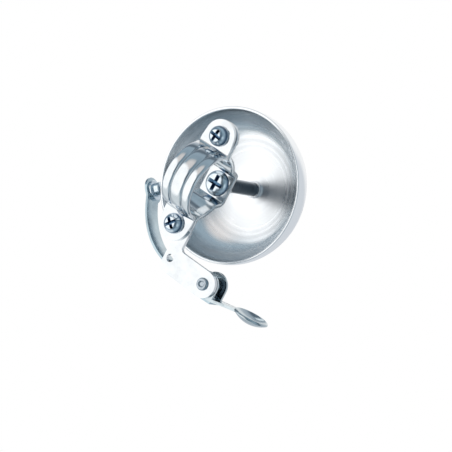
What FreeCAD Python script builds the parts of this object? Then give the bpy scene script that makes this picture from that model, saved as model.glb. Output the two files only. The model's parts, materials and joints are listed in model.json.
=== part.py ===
import FreeCAD, Part
import math
import os

Vector = FreeCAD.Vector

# The origin is on the handlebar's axis, midway along the clamp. X runs along the handlebar,
# Z points to the crown of the dome and -Y to the thumb lever. All sizes are in millimetres.

# Handlebar clamp
bar_d = 22.2             # handlebar diameter
strap_w = 12.6           # width of the strap along the handlebar
saddle_w = 11.0          # width of the saddle along the handlebar
screw_out = 5.9          # from the handlebar's surface to a clamp screw's axis
lug_low = -1.0           # height of the strap lugs' lower faces
strap_lug_r = 5.9        # end radius of the strap's lugs
saddle_lug_r = 5.5       # end radius of the saddle's lugs and of the bracket's eye
strap_t = 1.2            # strap sheet
band_mid = 5.2           # width of the middle one of the strap's three bands
band_dip = 0.45          # depth of the two grooves between them
saddle_t = 1.5           # saddle sheet
bend_r = 1.0             # inside radius of the lug bends
channel_lean = 1.3       # how far each channel wall leans outwards on its way to the bore
channel_slack = 0.4      # room beside the post's head

# Clamp screws, M4
screw_d = 4.0
screw_head_d = 7.0
screw_head_h = 2.4
screw_tail = 1.6         # thread showing past the nut
screw_washer_d = 7.2
screw_washer_t = 0.6
screw_nut_af = 7.0
screw_nut_h = 3.2
hole_play = 0.2          # radial room of a screw in its plain holes
fit = 0.04               # radial room of a nut or a bush on its shaft

# Dome
dome_d = 55.0
dome_t = 1.5
rim_z = 21.0             # height of the rim over the handlebar's axis
skirt_h = 2.2            # straight part above the rim
shoulder_r = 14.0        # outside radius of the shoulder
crown_r = 45.0           # outside radius of the crown
seat_drop = 0.12         # depth of the flat seats at the dome's hole

# Post that carries the dome
post_d = 5.0
post_head_d = 9.0
post_head_h = 1.8
post_end_d = 4.0         # reduced end through the dome
post_nut_af = 8.0
post_nut_h = 2.5
dome_washer_d = 6.0
dome_washer_t = 1.1
crown_washer_d = 8.0
crown_washer_t = 0.8
crown_nut_af = 7.0
crown_nut_h = 3.0
crown_cap_h = 2.6        # domed part of the crown nut

# Lever bracket, a flat plate held under the saddle's front lug
bracket_t = 1.5
neck_in = 6.5            # the neck's far edge from the screw's axis, along -X
neck_out = 1.5           # its near edge
neck_len = 7.2           # from the screw's axis to the cheek, along -Y
cheek_far = 16.3         # from the screw's axis to the cheek's outer corner, along -Y
pivot_x = 20.0           # from the screw's axis to the pivot, along -X
pivot_y = 12.5           # from the screw's axis to the pivot, along -Y
pivot_end_r = 4.8        # rounding of the plate and the lever about the pivot
leg_hole_d = 2.8         # hole that takes the spring's leg
leg_hole_x = 4.1         # from the screw's axis, along -X
leg_hole_y = 11.2        # from the screw's axis, along -Y

# Pivot
rivet_d = 2.2
rivet_head_d = 4.5
rivet_head_h = 0.9
rivet_dish = 0.45        # depth of the hollow in the rivet's head
bush_d = 3.4
thrust_t = 0.25          # shim between the plate and the lever
thrust_d = 7.0
pivot_washer_d = 5.6
pivot_washer_t = 0.6
side_play = 0.05         # end play of the lever along the pivot

# Thumb lever, a channel folded from sheet
lever_t = 1.0
channel_h = 7.3          # over both cheeks
web_out = 4.3            # from the pivot to the web's outer face
web_right = 4.9          # length of the web on the hammer's side of the pivot
tab_w = 5.0              # width of the thumb strip
tab_rise = 10.0          # angle of the thumb strip to the handlebar, degrees
tab_bend_r = 4.0
pad_d = 13.0
pad_depth = 2.3
pad_x = 19.5             # from the pivot to the pad's middle, along -X

# Hammer and its spring strip
arm_t = 0.8
arm_w = 6.6
arm_exit = 9.0           # heading of the strip as it leaves the web, degrees
arm_end = 48.0           # heading at the hammer
arm_bend_r = 6.0
arm_rise_r = 14.0        # rounding where the strip starts to climb
paddle_d = 9.4
hammer_at = 30.5         # the dome is struck this many degrees before +X, round its axis
hammer_len = 3.7         # from the strip to the striking face
hammer_z = 2.5           # height over the rim
hammer_flange_d = 7.2
hammer_flange_t = 1.0
hammer_d = 5.0
hammer_face_r = 6.0      # rounding of the striking face
hammer_gap = 0.45        # to the dome at rest
tail_d = 3.0             # riveted tail outside the strip
tail_h = 0.9
arm_rivet_d = 1.6
arm_rivet_head_d = 2.4
arm_rivet_head_h = 0.45
arm_rivet_pitch = 5.4

# Torsion spring
wire_d = 0.7
coil_d = 4.9             # middle of the wire
coil_pitch = 1.25
coil_turns = 3
leg_bend_r = 1.1
leg_b_len = 3.6          # straight part of the leg that bears on the web
leg_touch = 0.02         # room between a leg and what it bears on

# Sizes that follow from the ones above
bar_r = bar_d / 2.0
screw_y = bar_r + screw_out
plate_z = lug_low + strap_t
saddle_z = plate_z + bracket_t
nut_z = saddle_z + saddle_t
head_z = bar_r + 0.1
channel_z = head_z + post_head_h
saddle_top = channel_z + saddle_t
dome_r = dome_d / 2.0
shoulder_x = dome_r - shoulder_r
shoulder_z = rim_z + skirt_h
crown_z = shoulder_z - math.sqrt((crown_r - shoulder_r) ** 2 - shoulder_x ** 2)
seat_in = crown_z + crown_r - dome_t - seat_drop
seat_out = crown_z + crown_r - seat_drop
washer_z = lug_low - screw_washer_t
px = -pivot_x
py = -screw_y - pivot_y
shim_z = plate_z + bracket_t
lever_z = shim_z + thrust_t + side_play
lever_top = lever_z + channel_h
end_z = lever_top + side_play
mid_z = (lever_z + lever_top) / 2.0
web_y = py - web_out
strike_r = dome_r + hammer_gap
hammer_reach = arm_t / 2.0 + hammer_len
hx = strike_r * math.cos(math.radians(hammer_at)) + hammer_reach * math.sin(math.radians(arm_end))
hy = -strike_r * math.sin(math.radians(hammer_at)) - hammer_reach * math.cos(math.radians(arm_end))
hz = rim_z + hammer_z


def at(shape, x, y, z):
    shape.translate(Vector(x, y, z))
    return shape


def joined(shapes):
    """One solid from pieces that overlap."""
    return shapes[0].fuse(shapes[1:]).removeSplitter()


def face_of(edges):
    return Part.Face(Part.Wire(Part.__sortEdges__(edges)))


def rounded(points, radii):
    """Edges round a polygon whose corners carry the given radii."""
    edges = []
    last = None
    first = None
    count = len(points)
    for i in range(count):
        a = points[i - 1]
        b = points[i]
        c = points[(i + 1) % count]
        u = (a - b).normalize()
        v = (c - b).normalize()
        r = radii[i]
        if r > 0:
            half = u.getAngle(v) / 2.0
            start = b + u * (r / math.tan(half))
            stop = b + v * (r / math.tan(half))
            axis = (u + v).normalize()
            middle = b + axis * (r / math.sin(half) - r)
            arc = Part.Arc(start, middle, stop).toShape()
        else:
            start = b
            stop = b
            arc = None
        if last is None:
            first = start
        else:
            edges.append(Part.LineSegment(last, start).toShape())
        if arc:
            edges.append(arc)
        last = stop
    edges.append(Part.LineSegment(last, first).toShape())
    return edges


def plate(points, radii, z, height):
    """A flat plate with rounded corners, from x, y pairs."""
    corners = [Vector(x, y, z) for x, y in points]
    return face_of(rounded(corners, radii)).extrude(Vector(0, 0, height))


def ribbon(points, radii, thick, z, height):
    """A strip bent along a path in plan, thick to both sides of it by half."""
    sides = []
    for sign in (0.5, -0.5):
        d = sign * thick
        line = []
        turn_r = []
        for i, p in enumerate(points):
            a = (points[i] - points[i - 1]).normalize() if i else None
            b = (points[i + 1] - points[i]).normalize() if i + 1 < len(points) else None
            n1 = Vector(-a.y, a.x, 0) if a else Vector(-b.y, b.x, 0)
            n2 = Vector(-b.y, b.x, 0) if b else n1
            line.append(p + (n1 + n2) * (d / (1.0 + n1.dot(n2))))
            left = a.cross(b).z if a and b else 0.0
            turn_r.append(radii[i] - math.copysign(1.0, left) * d if left else 0.0)
        sides.append((line, turn_r))
    corners = sides[0][0] + sides[1][0][::-1]
    rounds = sides[0][1] + sides[1][1][::-1]
    corners = [Vector(c.x, c.y, z) for c in corners]
    return face_of(rounded(corners, rounds)).extrude(Vector(0, 0, height))


def ring(r_out, r_in, z, height):
    solid = Part.makeCylinder(r_out, height, Vector(0, 0, z))
    return solid.cut(Part.makeCylinder(r_in, height + 2, Vector(0, 0, z - 1)))


def hex_nut(across, bore_r, z, height):
    """A nut with its corners turned back on both faces."""
    corner = across / math.sqrt(3.0)
    points = []
    for i in range(6):
        a = math.radians(60 * i)
        points.append(Vector(corner * math.cos(a), corner * math.sin(a), z))
    prism = Part.Face(Part.makePolygon(points + [points[0]])).extrude(Vector(0, 0, height))
    back = 0.35
    half = across / 2.0
    rise = (corner + 0.05 - half) * 0.55
    outline = Part.makePolygon([
        Vector(0, 0, z), Vector(half - back * 0.2, 0, z), Vector(corner + 0.05, 0, z + rise),
        Vector(corner + 0.05, 0, z + height - rise), Vector(half - back * 0.2, 0, z + height),
        Vector(0, 0, z + height), Vector(0, 0, z)])
    turned = Part.Face(outline).revolve(Vector(0, 0, 0), Vector(0, 0, 1), 360)
    return prism.common(turned).cut(Part.makeCylinder(bore_r, height + 2, Vector(0, 0, z - 1)))


def turned(points):
    """A solid of revolution round Z from radius, height pairs."""
    outline = [Vector(r, 0, z) for r, z in points]
    outline.append(outline[0])
    return Part.Face(Part.makePolygon(outline)).revolve(Vector(0, 0, 0), Vector(0, 0, 1), 360)


def cross_recess(size, depth, z):
    """The tapered cross that a driver fits, opening towards -Z at height z."""
    blade = size * 0.24
    one = Part.makeBox(size, blade, depth + 1, Vector(-size / 2.0, -blade / 2.0, z - 1))
    two = Part.makeBox(blade, size, depth + 1, Vector(-blade / 2.0, -size / 2.0, z - 1))
    taper = Part.makeCone(size / 2.0 + 0.45, size / 6.0, depth + 1, Vector(0, 0, z - 1))
    return one.fuse(two).common(taper)


def pan_head(r, h, z):
    """A rounded head with its bearing face at height z, standing towards -Z."""
    flat = r * 0.52
    edges = [
        Part.LineSegment(Vector(0, 0, z), Vector(r, 0, z)).toShape(),
        Part.LineSegment(Vector(r, 0, z), Vector(r, 0, z - h * 0.45)).toShape(),
        Part.Arc(Vector(r, 0, z - h * 0.45), Vector(r * 0.86, 0, z - h * 0.85),
                 Vector(flat, 0, z - h)).toShape(),
        Part.LineSegment(Vector(flat, 0, z - h), Vector(0, 0, z - h)).toShape(),
        Part.LineSegment(Vector(0, 0, z - h), Vector(0, 0, z)).toShape()]
    return face_of(edges).revolve(Vector(0, 0, 0), Vector(0, 0, 1), 360)


# Handlebar clamp

def lug_bend(r_out, low, up):
    """Centre of a lug bend that touches both the ring and the lug's face."""
    z = low - bend_r if up < 0 else low + bend_r
    reach = r_out + bend_r
    return Vector(0, math.sqrt(reach ** 2 - z ** 2), z)


def arc_about(c, r, a, b):
    """An arc in the YZ plane about c, from angle a to angle b in degrees."""
    points = []
    for angle in (a, (a + b) / 2.0, b):
        t = math.radians(angle)
        points.append(Vector(c.x, c.y + r * math.cos(t), c.z + r * math.sin(t)))
    return Part.Arc(*points).toShape()


def strap_section():
    """The strap's section across its width: flat inside, three crowned bands outside."""
    w = strap_w / 2.0
    groove = band_mid / 2.0
    inner = bar_r
    low = bar_r + strap_t - band_dip
    high = bar_r + strap_t
    edges = [Part.LineSegment(Vector(w, -inner, 0), Vector(-w, -inner, 0)).toShape(),
             Part.LineSegment(Vector(-w, -inner, 0), Vector(-w, -low, 0)).toShape()]
    for a, b in ((-w, -groove), (-groove, groove), (groove, w)):
        edges.append(Part.Arc(Vector(a, -low, 0), Vector((a + b) / 2.0, -high, 0),
                              Vector(b, -low, 0)).toShape())
    edges.append(Part.LineSegment(Vector(w, -low, 0), Vector(w, -inner, 0)).toShape())
    return face_of(edges)


def strap_bands(c):
    """The half ring under the handlebar, from bend to bend."""
    tip = math.degrees(math.atan2(-c.z, c.y))
    section = strap_section()
    section.rotate(Vector(0, 0, 0), Vector(1, 0, 0), tip)
    return section.revolve(Vector(0, 0, 0), Vector(1, 0, 0), 180 - 2 * tip)


def strap_bend(c):
    """One bend, with the three bands running out in it."""
    tip = math.degrees(math.atan2(-c.z, c.y))
    section = strap_section()
    section.rotate(Vector(0, 0, 0), Vector(1, 0, 0), 180 - tip)
    return section.revolve(c, Vector(1, 0, 0), -(90 - tip))


def lug(side, y_in, width, end_r, z, t):
    """A flat lug with its screw hole, out to one side."""
    half = width / 2.0
    body = plate([(-half, side * y_in), (half, side * y_in), (half, side * (y_in + 1.4)),
                  (end_r, side * screw_y), (-end_r, side * screw_y), (-half, side * (y_in + 1.4))],
                 [0, 0, 0, 0, 0, 0], z, t)
    end = Part.makeCylinder(end_r, t, Vector(0, side * screw_y, z))
    hole = Part.makeCylinder(screw_d / 2.0 + hole_play, t + 2, Vector(0, side * screw_y, z - 1))
    return body.fuse(end).cut(hole)


def make_strap():
    c = lug_bend(bar_r + strap_t, lug_low, -1)
    rear = strap_bend(c)
    front = rear.mirror(Vector(0, 0, 0), Vector(0, 1, 0))
    pieces = [strap_bands(c), rear, front,
              lug(1, c.y, strap_w, strap_lug_r, lug_low, strap_t),
              lug(-1, c.y, strap_w, strap_lug_r, lug_low, strap_t)]
    return joined(pieces)


def saddle_outline(side):
    """Half of the saddle's section, on one side of the post."""
    r_in = bar_r
    r_out = bar_r + saddle_t
    c = lug_bend(r_out, nut_z, 1)
    tip = math.degrees(math.atan2(c.z, c.y))
    half = post_head_d / 2.0 + channel_slack
    foot = half + channel_lean
    foot_z = math.sqrt(r_in ** 2 - foot ** 2)
    top_out = half + saddle_t * 0.75
    lean = (foot - half) / (channel_z - foot_z)
    a = 1.0 + lean ** 2
    base = top_out + lean * saddle_top
    b = -2.0 * base * lean
    k = base ** 2 - r_out ** 2
    join_z = (-b + math.sqrt(b ** 2 - 4 * a * k)) / (2 * a)
    join_y = base - lean * join_z
    foot_a = math.degrees(math.atan2(foot_z, foot))
    join_a = math.degrees(math.atan2(join_z, join_y))
    inner = [Vector(0, 0, channel_z), Vector(0, half, channel_z), Vector(0, foot, foot_z)]
    outer = [Vector(0, 0, saddle_top), Vector(0, top_out, saddle_top), Vector(0, join_y, join_z)]
    o = Vector(0, 0, 0)
    edges = [Part.LineSegment(inner[0], inner[1]).toShape(),
             Part.LineSegment(inner[1], inner[2]).toShape(),
             arc_about(o, r_in, foot_a, tip),
             arc_about(c, bend_r + saddle_t, 180 + tip, 270),
             Part.LineSegment(Vector(0, c.y, saddle_z), Vector(0, c.y, nut_z)).toShape(),
             arc_about(c, bend_r, 270, 180 + tip),
             arc_about(o, r_out, tip, join_a),
             Part.LineSegment(outer[2], outer[1]).toShape(),
             Part.LineSegment(outer[1], outer[0]).toShape(),
             Part.LineSegment(outer[0], inner[0]).toShape()]
    solid = face_of(edges).extrude(Vector(saddle_w, 0, 0))
    solid.translate(Vector(-saddle_w / 2.0, 0, 0))
    if side < 0:
        solid = solid.mirror(Vector(0, 0, 0), Vector(0, 1, 0))
    return solid


def make_saddle():
    c = lug_bend(bar_r + saddle_t, nut_z, 1)
    pieces = [saddle_outline(1), saddle_outline(-1),
              lug(1, c.y, saddle_w, saddle_lug_r, saddle_z, saddle_t),
              lug(-1, c.y, saddle_w, saddle_lug_r, saddle_z, saddle_t)]
    body = joined(pieces)
    return body.cut(Part.makeCylinder(post_d / 2.0 + hole_play, 9, Vector(0, 0, channel_z - 4)))


def make_clamp_screw(side):
    r = screw_d / 2.0
    base = washer_z
    tail = nut_z + screw_nut_h + screw_tail
    shank = turned([(0, base - 0.5), (r, base - 0.5), (r, tail - 0.5), (r - 0.5, tail), (0, tail)])
    head = pan_head(screw_head_d / 2.0, screw_head_h, base)
    body = head.fuse(shank).cut(cross_recess(3.9, 1.3, base - screw_head_h))
    return at(body, 0, side * screw_y, 0)


def make_clamp_washer(side):
    body = ring(screw_washer_d / 2.0, screw_d / 2.0 + hole_play, washer_z, screw_washer_t)
    return at(body, 0, side * screw_y, 0)


def make_clamp_nut(side):
    body = hex_nut(screw_nut_af, screw_d / 2.0 + fit, nut_z, screw_nut_h)
    return at(body, 0, side * screw_y, 0)


# Dome and post

def dome_edges(inset):
    """The dome's curve from rim to crown, inset from its outside."""
    run = crown_r - shoulder_r
    ux = shoulder_x / run
    uz = (shoulder_z - crown_z) / run
    r = shoulder_r - inset
    big = crown_r - inset
    turn = math.atan2(uz, ux)
    bow = Vector(shoulder_x + r * math.cos(turn / 2.0), 0, shoulder_z + r * math.sin(turn / 2.0))
    meet = Vector(ux * big, 0, crown_z + uz * big)
    side = Vector(dome_r - inset, 0, shoulder_z)
    up = (math.pi / 2.0 + turn) / 2.0
    over = Vector(big * math.cos(up), 0, crown_z + big * math.sin(up))
    top = Vector(0, 0, crown_z + big)
    skirt = Part.LineSegment(Vector(dome_r - inset, 0, rim_z), side).toShape()
    return [skirt, Part.Arc(side, bow, meet).toShape(), Part.Arc(meet, over, top).toShape()]


def make_dome():
    outer = dome_edges(0.0)
    inner = dome_edges(dome_t)
    rim = Part.LineSegment(Vector(dome_r, 0, rim_z), Vector(dome_r - dome_t, 0, rim_z)).toShape()
    z_in = crown_z + crown_r - dome_t
    middle = Part.LineSegment(Vector(0, 0, z_in), Vector(0, 0, z_in + dome_t)).toShape()
    shell = face_of(outer + inner + [rim, middle]).revolve(Vector(0, 0, 0), Vector(0, 0, 1), 360)
    seat = Part.makeCylinder(dome_washer_d / 2.0 + 0.3, 0.6, Vector(0, 0, seat_in))
    shell = shell.fuse(seat)
    shell = shell.cut(Part.makeCylinder(crown_washer_d, 3, Vector(0, 0, seat_out)))
    hole = Part.makeCylinder(post_end_d / 2.0 + 0.1, 6, Vector(0, 0, seat_in - 2))
    return shell.cut(hole).removeSplitter()


def make_post():
    r = post_d / 2.0
    end_r = post_end_d / 2.0
    shoulder = seat_in - dome_washer_t
    tail = seat_out + crown_washer_t + crown_nut_h - 0.3
    shank = turned([(0, channel_z - 0.5), (r, channel_z - 0.5), (r, shoulder - 0.3), (r - 0.3, shoulder),
                    (end_r, shoulder), (end_r, tail - 0.4), (end_r - 0.4, tail), (0, tail)])
    head = pan_head(post_head_d / 2.0, post_head_h, channel_z)
    return head.fuse(shank).cut(cross_recess(4.8, 1.2, head_z))


def make_post_nut():
    return hex_nut(post_nut_af, post_d / 2.0 + fit, saddle_top, post_nut_h)


def make_dome_washer():
    return ring(dome_washer_d / 2.0, post_end_d / 2.0 + fit, seat_in - dome_washer_t, dome_washer_t)


def make_crown_washer():
    return ring(crown_washer_d / 2.0, post_end_d / 2.0 + fit, seat_out, crown_washer_t)


def make_crown_nut():
    z = seat_out + crown_washer_t
    cap_r = crown_nut_af / 2.0 * 0.92
    ball = (cap_r ** 2 + crown_cap_h ** 2) / (2.0 * crown_cap_h)
    cap = Part.makeSphere(ball, Vector(0, 0, z + crown_nut_h + crown_cap_h - ball))
    keep = Part.makeCylinder(cap_r, crown_cap_h + 1.5, Vector(0, 0, z + crown_nut_h - 0.5))
    body = hex_nut(crown_nut_af, 0.5, z, crown_nut_h).fuse(cap.common(keep))
    return body.cut(Part.makeCylinder(post_end_d / 2.0 + fit, crown_nut_h + 1, Vector(0, 0, z - 1)))


# Lever bracket and pivot

def make_bracket():
    outline = plate([(-neck_out, -screw_y), (-neck_out, -screw_y - cheek_far),
                     (px, py - pivot_end_r), (px, py + pivot_end_r),
                     (-neck_in, -screw_y - neck_len), (-neck_in, -screw_y)],
                    [0, 2.2, 0, 0, 1.6, 0], plate_z, bracket_t)
    eye = Part.makeCylinder(saddle_lug_r, bracket_t, Vector(0, -screw_y, plate_z))
    end = Part.makeCylinder(pivot_end_r, bracket_t, Vector(px, py, plate_z))
    body = joined([outline, eye, end])
    holes = [Part.makeCylinder(screw_d / 2.0 + hole_play, 9, Vector(0, -screw_y, plate_z - 4)),
             Part.makeCylinder(rivet_d / 2.0 + fit, 9, Vector(px, py, plate_z - 4)),
             Part.makeCylinder(leg_hole_d / 2.0, 9,
                               Vector(-leg_hole_x, -screw_y - leg_hole_y, plate_z - 4))]
    return body.cut(holes)


def make_pivot_rivet():
    r = rivet_d / 2.0
    big = rivet_head_d / 2.0
    low = plate_z - rivet_head_h
    top = end_z + pivot_washer_t
    high = top + rivet_head_h
    body = turned([(0, low + rivet_dish), (r * 0.7, low + rivet_dish), (r, low), (big - 0.3, low),
                   (big, low + 0.4), (big, plate_z), (r, plate_z), (r, top), (big, top),
                   (big, high - 0.4), (big - 0.3, high), (r, high), (r * 0.7, high - rivet_dish),
                   (0, high - rivet_dish)])
    return at(body, px, py, 0)


def make_pivot_bush():
    return at(ring(bush_d / 2.0, rivet_d / 2.0 + fit, shim_z, end_z - shim_z), px, py, 0)


def make_pivot_shim():
    return at(ring(thrust_d / 2.0, bush_d / 2.0 + fit, shim_z, thrust_t), px, py, 0)


def make_pivot_washer():
    return at(ring(pivot_washer_d / 2.0, rivet_d / 2.0 + fit, end_z, pivot_washer_t), px, py, 0)


# Thumb lever

def lever_cheek(z):
    x_left = px - pivot_end_r
    x_right = px + web_right
    low = plate([(x_left, web_y), (x_right, web_y), (x_right, py), (x_left, py)],
                [0, 0, 0, 0], z, lever_t)
    room = Part.makeBox(2 * pivot_end_r, 3 * pivot_end_r, lever_t, Vector(x_left, web_y, z))
    round_end = Part.makeCylinder(pivot_end_r, lever_t, Vector(px, py, z)).common(room)
    body = low.fuse(round_end)
    return body.cut(Part.makeCylinder(bush_d / 2.0 + fit + 0.02, 9, Vector(px, py, z - 4)))


def tab_path():
    """The web and the thumb strip in plan, along the middle of the sheet."""
    y = web_y + lever_t / 2.0
    a = math.radians(tab_rise)
    knee = px - pivot_end_r + 0.6
    run = pad_x - pivot_end_r + 0.6 - pad_d / 2.0 + 0.9
    tip = Vector(knee - run, y + run * math.tan(a), 0)
    return [Vector(px + web_right, y, 0), Vector(knee, y, 0), tip]


def thumb_strip():
    """Web and thumb strip, narrowed from the channel's height to the strip's width."""
    path = tab_path()
    sheet = ribbon(path, [0, tab_bend_r, 0], lever_t, lever_z, channel_h)
    right = path[0].x + 1
    knee = px - pivot_end_r - 0.5
    neck = knee - 5.0
    tip = path[2].x - 1
    half = tab_w / 2.0
    side = [Vector(right, 0, lever_z), Vector(right, 0, lever_top), Vector(knee, 0, lever_top),
            Vector(neck, 0, mid_z + half), Vector(tip, 0, mid_z + half),
            Vector(tip, 0, mid_z - half), Vector(neck, 0, mid_z - half), Vector(knee, 0, lever_z)]
    outline = face_of(rounded(side, [0, 0, 2.5, 6, 0, 0, 6, 2.5]))
    outline.translate(Vector(0, web_y - pad_d, 0))
    return sheet.common(outline.extrude(Vector(0, 3 * pad_d, 0)))


def thumb_pad():
    """The dished pad, bulging towards -Y."""
    r = pad_d / 2.0
    ball = (r ** 2 + pad_depth ** 2) / (2.0 * pad_depth)
    rim_y = tab_path()[2].y + 0.45
    middle = Vector(px - pad_x, rim_y - pad_depth + ball, mid_z)
    shell = Part.makeSphere(ball, middle).cut(Part.makeSphere(ball - lever_t, middle))
    keep = Part.makeCylinder(r + 1, pad_depth + 1, Vector(px - pad_x, rim_y, mid_z), Vector(0, -1, 0))
    return shell.common(keep)


def web_rivets(radius):
    """Tools for the two rivet holes through the web."""
    tools = []
    for sign in (-0.5, 0.5):
        x = px + sign * arm_rivet_pitch
        tools.append(Part.makeCylinder(radius, 6, Vector(x, web_y - 3, mid_z), Vector(0, 1, 0)))
    return tools


def make_lever():
    pieces = [lever_cheek(lever_z), lever_cheek(lever_top - lever_t), thumb_strip(), thumb_pad()]
    body = joined(pieces)
    return body.cut(web_rivets(arm_rivet_d / 2.0 + fit))


# Hammer on its spring strip

def arm_path():
    """The strip in plan, along its middle: web, exit, curve round the dome, hammer."""
    y = web_y - arm_t / 2.0
    start = Vector(px - arm_rivet_pitch / 2.0 - 1.9, y, 0)
    bend = Vector(px + web_right + 0.6, y, 0)
    a = math.radians(arm_exit)
    b = math.radians(arm_end)
    da = Vector(math.cos(a), math.sin(a), 0)
    db = Vector(math.cos(b), math.sin(b), 0)
    gap = Vector(hx, hy, 0) - bend
    along = (gap.x * db.y - gap.y * db.x) / (da.x * db.y - da.y * db.x)
    knee = bend + da * along
    over = paddle_d / 2.0
    return [start, bend, knee, Vector(hx, hy, 0) + db * over]


def arm_curve_r():
    """The largest curve that still leaves the hammer's end of the strip straight."""
    path = arm_path()
    straight = (path[3] - path[2]).Length - paddle_d
    half = math.radians(arm_end - arm_exit) / 2.0
    return straight / math.tan(half)


def arm_frame():
    """Unit vectors along the strip and out of it, at the hammer."""
    b = math.radians(arm_end)
    return Vector(math.cos(b), math.sin(b), 0), Vector(math.sin(b), -math.cos(b), 0)


def arm_outline():
    """The strip's side view square to the paddle, as a solid to trim the bent sheet."""
    along, out = arm_frame()
    path = arm_path()
    middle = Vector(hx, hy, 0)
    u0 = (path[0] - middle).dot(along) - 1.0
    u1 = (path[1] - middle).dot(along) + 2.0
    half = arm_w / 2.0
    rise = math.atan2(hz - mid_z, -u1)
    side = half / math.cos(rise)
    shift = half * math.tan(rise / 2.0)
    corners = [(u0, mid_z - half), (u1 + shift, mid_z - half), (0, hz - side),
               (0, hz + side), (u1 - shift, mid_z + half), (u0, mid_z + half)]
    points = [middle + along * u + Vector(0, 0, z) for u, z in corners]
    face = face_of(rounded(points, [0, arm_rise_r + half, 0, 0, arm_rise_r - half, 0]))
    bar = face.extrude(out * (2 * dome_d))
    bar.translate(out * -dome_d)
    disc = Part.makeCylinder(paddle_d / 2.0, 2 * dome_d, middle + Vector(0, 0, hz) - out * dome_d, out)
    return bar.fuse(disc)


def make_arm():
    sheet = ribbon(arm_path(), [0, arm_bend_r, arm_curve_r(), 0], arm_t, lever_z - 2, hz + 20)
    body = sheet.common(arm_outline())
    along, out = arm_frame()
    middle = Vector(hx, hy, hz)
    body = body.cut(Part.makeCylinder(tail_d / 2.0 - 0.4 + fit, 6, middle - out * 3, out))
    return body.cut(web_rivets(arm_rivet_d / 2.0 + fit))


def make_arm_rivets():
    """Two rivets that hold the strip to the web."""
    low = web_y - arm_t
    high = web_y + lever_t
    r = arm_rivet_d / 2.0
    big = arm_rivet_head_d / 2.0
    h = arm_rivet_head_h
    body = turned([(0, low - h), (big - 0.45, low - h), (big, low - h * 0.4), (big, low), (r, low),
                   (r, high), (big, high), (big, high + h * 0.4), (big - 0.45, high + h), (0, high + h)])
    body.rotate(Vector(0, 0, 0), Vector(1, 0, 0), -90)
    pair = []
    for sign in (-0.5, 0.5):
        one = body.copy()
        pair.append(at(one, px + sign * arm_rivet_pitch, 0, mid_z))
    return Part.makeCompound(pair)


def make_hammer():
    """The striker: a flange on the strip, a boss with a rounded face and a riveted tail."""
    along, out = arm_frame()
    near = arm_t / 2.0
    length = hammer_reach
    r = hammer_d / 2.0
    flange = hammer_flange_d / 2.0
    neck = tail_d / 2.0 - 0.4
    tail = tail_d / 2.0
    dip = hammer_face_r - math.sqrt(hammer_face_r ** 2 - r ** 2)
    top = near + hammer_flange_t
    q = r * 0.55
    dip_q = hammer_face_r - math.sqrt(hammer_face_r ** 2 - q ** 2)
    points = [(0, -near - tail_h), (tail - 0.6, -near - tail_h), (tail, -near - tail_h * 0.5),
              (tail, -near), (neck, -near), (neck, near), (flange, near), (flange, top - 0.3),
              (flange - 0.3, top), (r, top), (r, length - dip)]
    edges = [Part.LineSegment(Vector(a, 0, z), Vector(c, 0, w)).toShape()
             for (a, z), (c, w) in zip(points, points[1:])]
    edges.append(Part.Arc(Vector(r, 0, length - dip), Vector(q, 0, length - dip_q),
                          Vector(0, 0, length)).toShape())
    edges.append(Part.LineSegment(Vector(0, 0, length), Vector(0, 0, -near - tail_h)).toShape())
    body = face_of(edges).revolve(Vector(0, 0, 0), Vector(0, 0, 1), 360)
    turn = FreeCAD.Rotation(Vector(0, 0, 1), out * -1)
    body.Placement = FreeCAD.Placement(Vector(hx, hy, hz), turn)
    return body


# Torsion spring

def biarc(p, tp, q, tq):
    """Two arcs that join p to q and keep both headings."""
    v = q - p
    t = tp + tq
    a = 2.0 * (1.0 - tp.dot(tq))
    d = (-v.dot(t) + math.sqrt(v.dot(t) ** 2 + a * v.dot(v))) / a
    c1 = p + tp * d
    c2 = q - tq * d
    m = (c1 + c2) * 0.5
    return [arc_between(p, c1, m), arc_between(m, c2, q)]


def arc_between(p, c, q):
    """The arc from p to q whose end tangents meet at c."""
    m = (p + q) * 0.5
    a = (q - p).Length / 2.0
    half = math.acos(min(1.0, a / (c - p).Length))
    lift = (c - m).normalize()
    return Part.Arc(p, m + lift * (a * math.tan(half / 2.0)), q).toShape()


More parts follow.
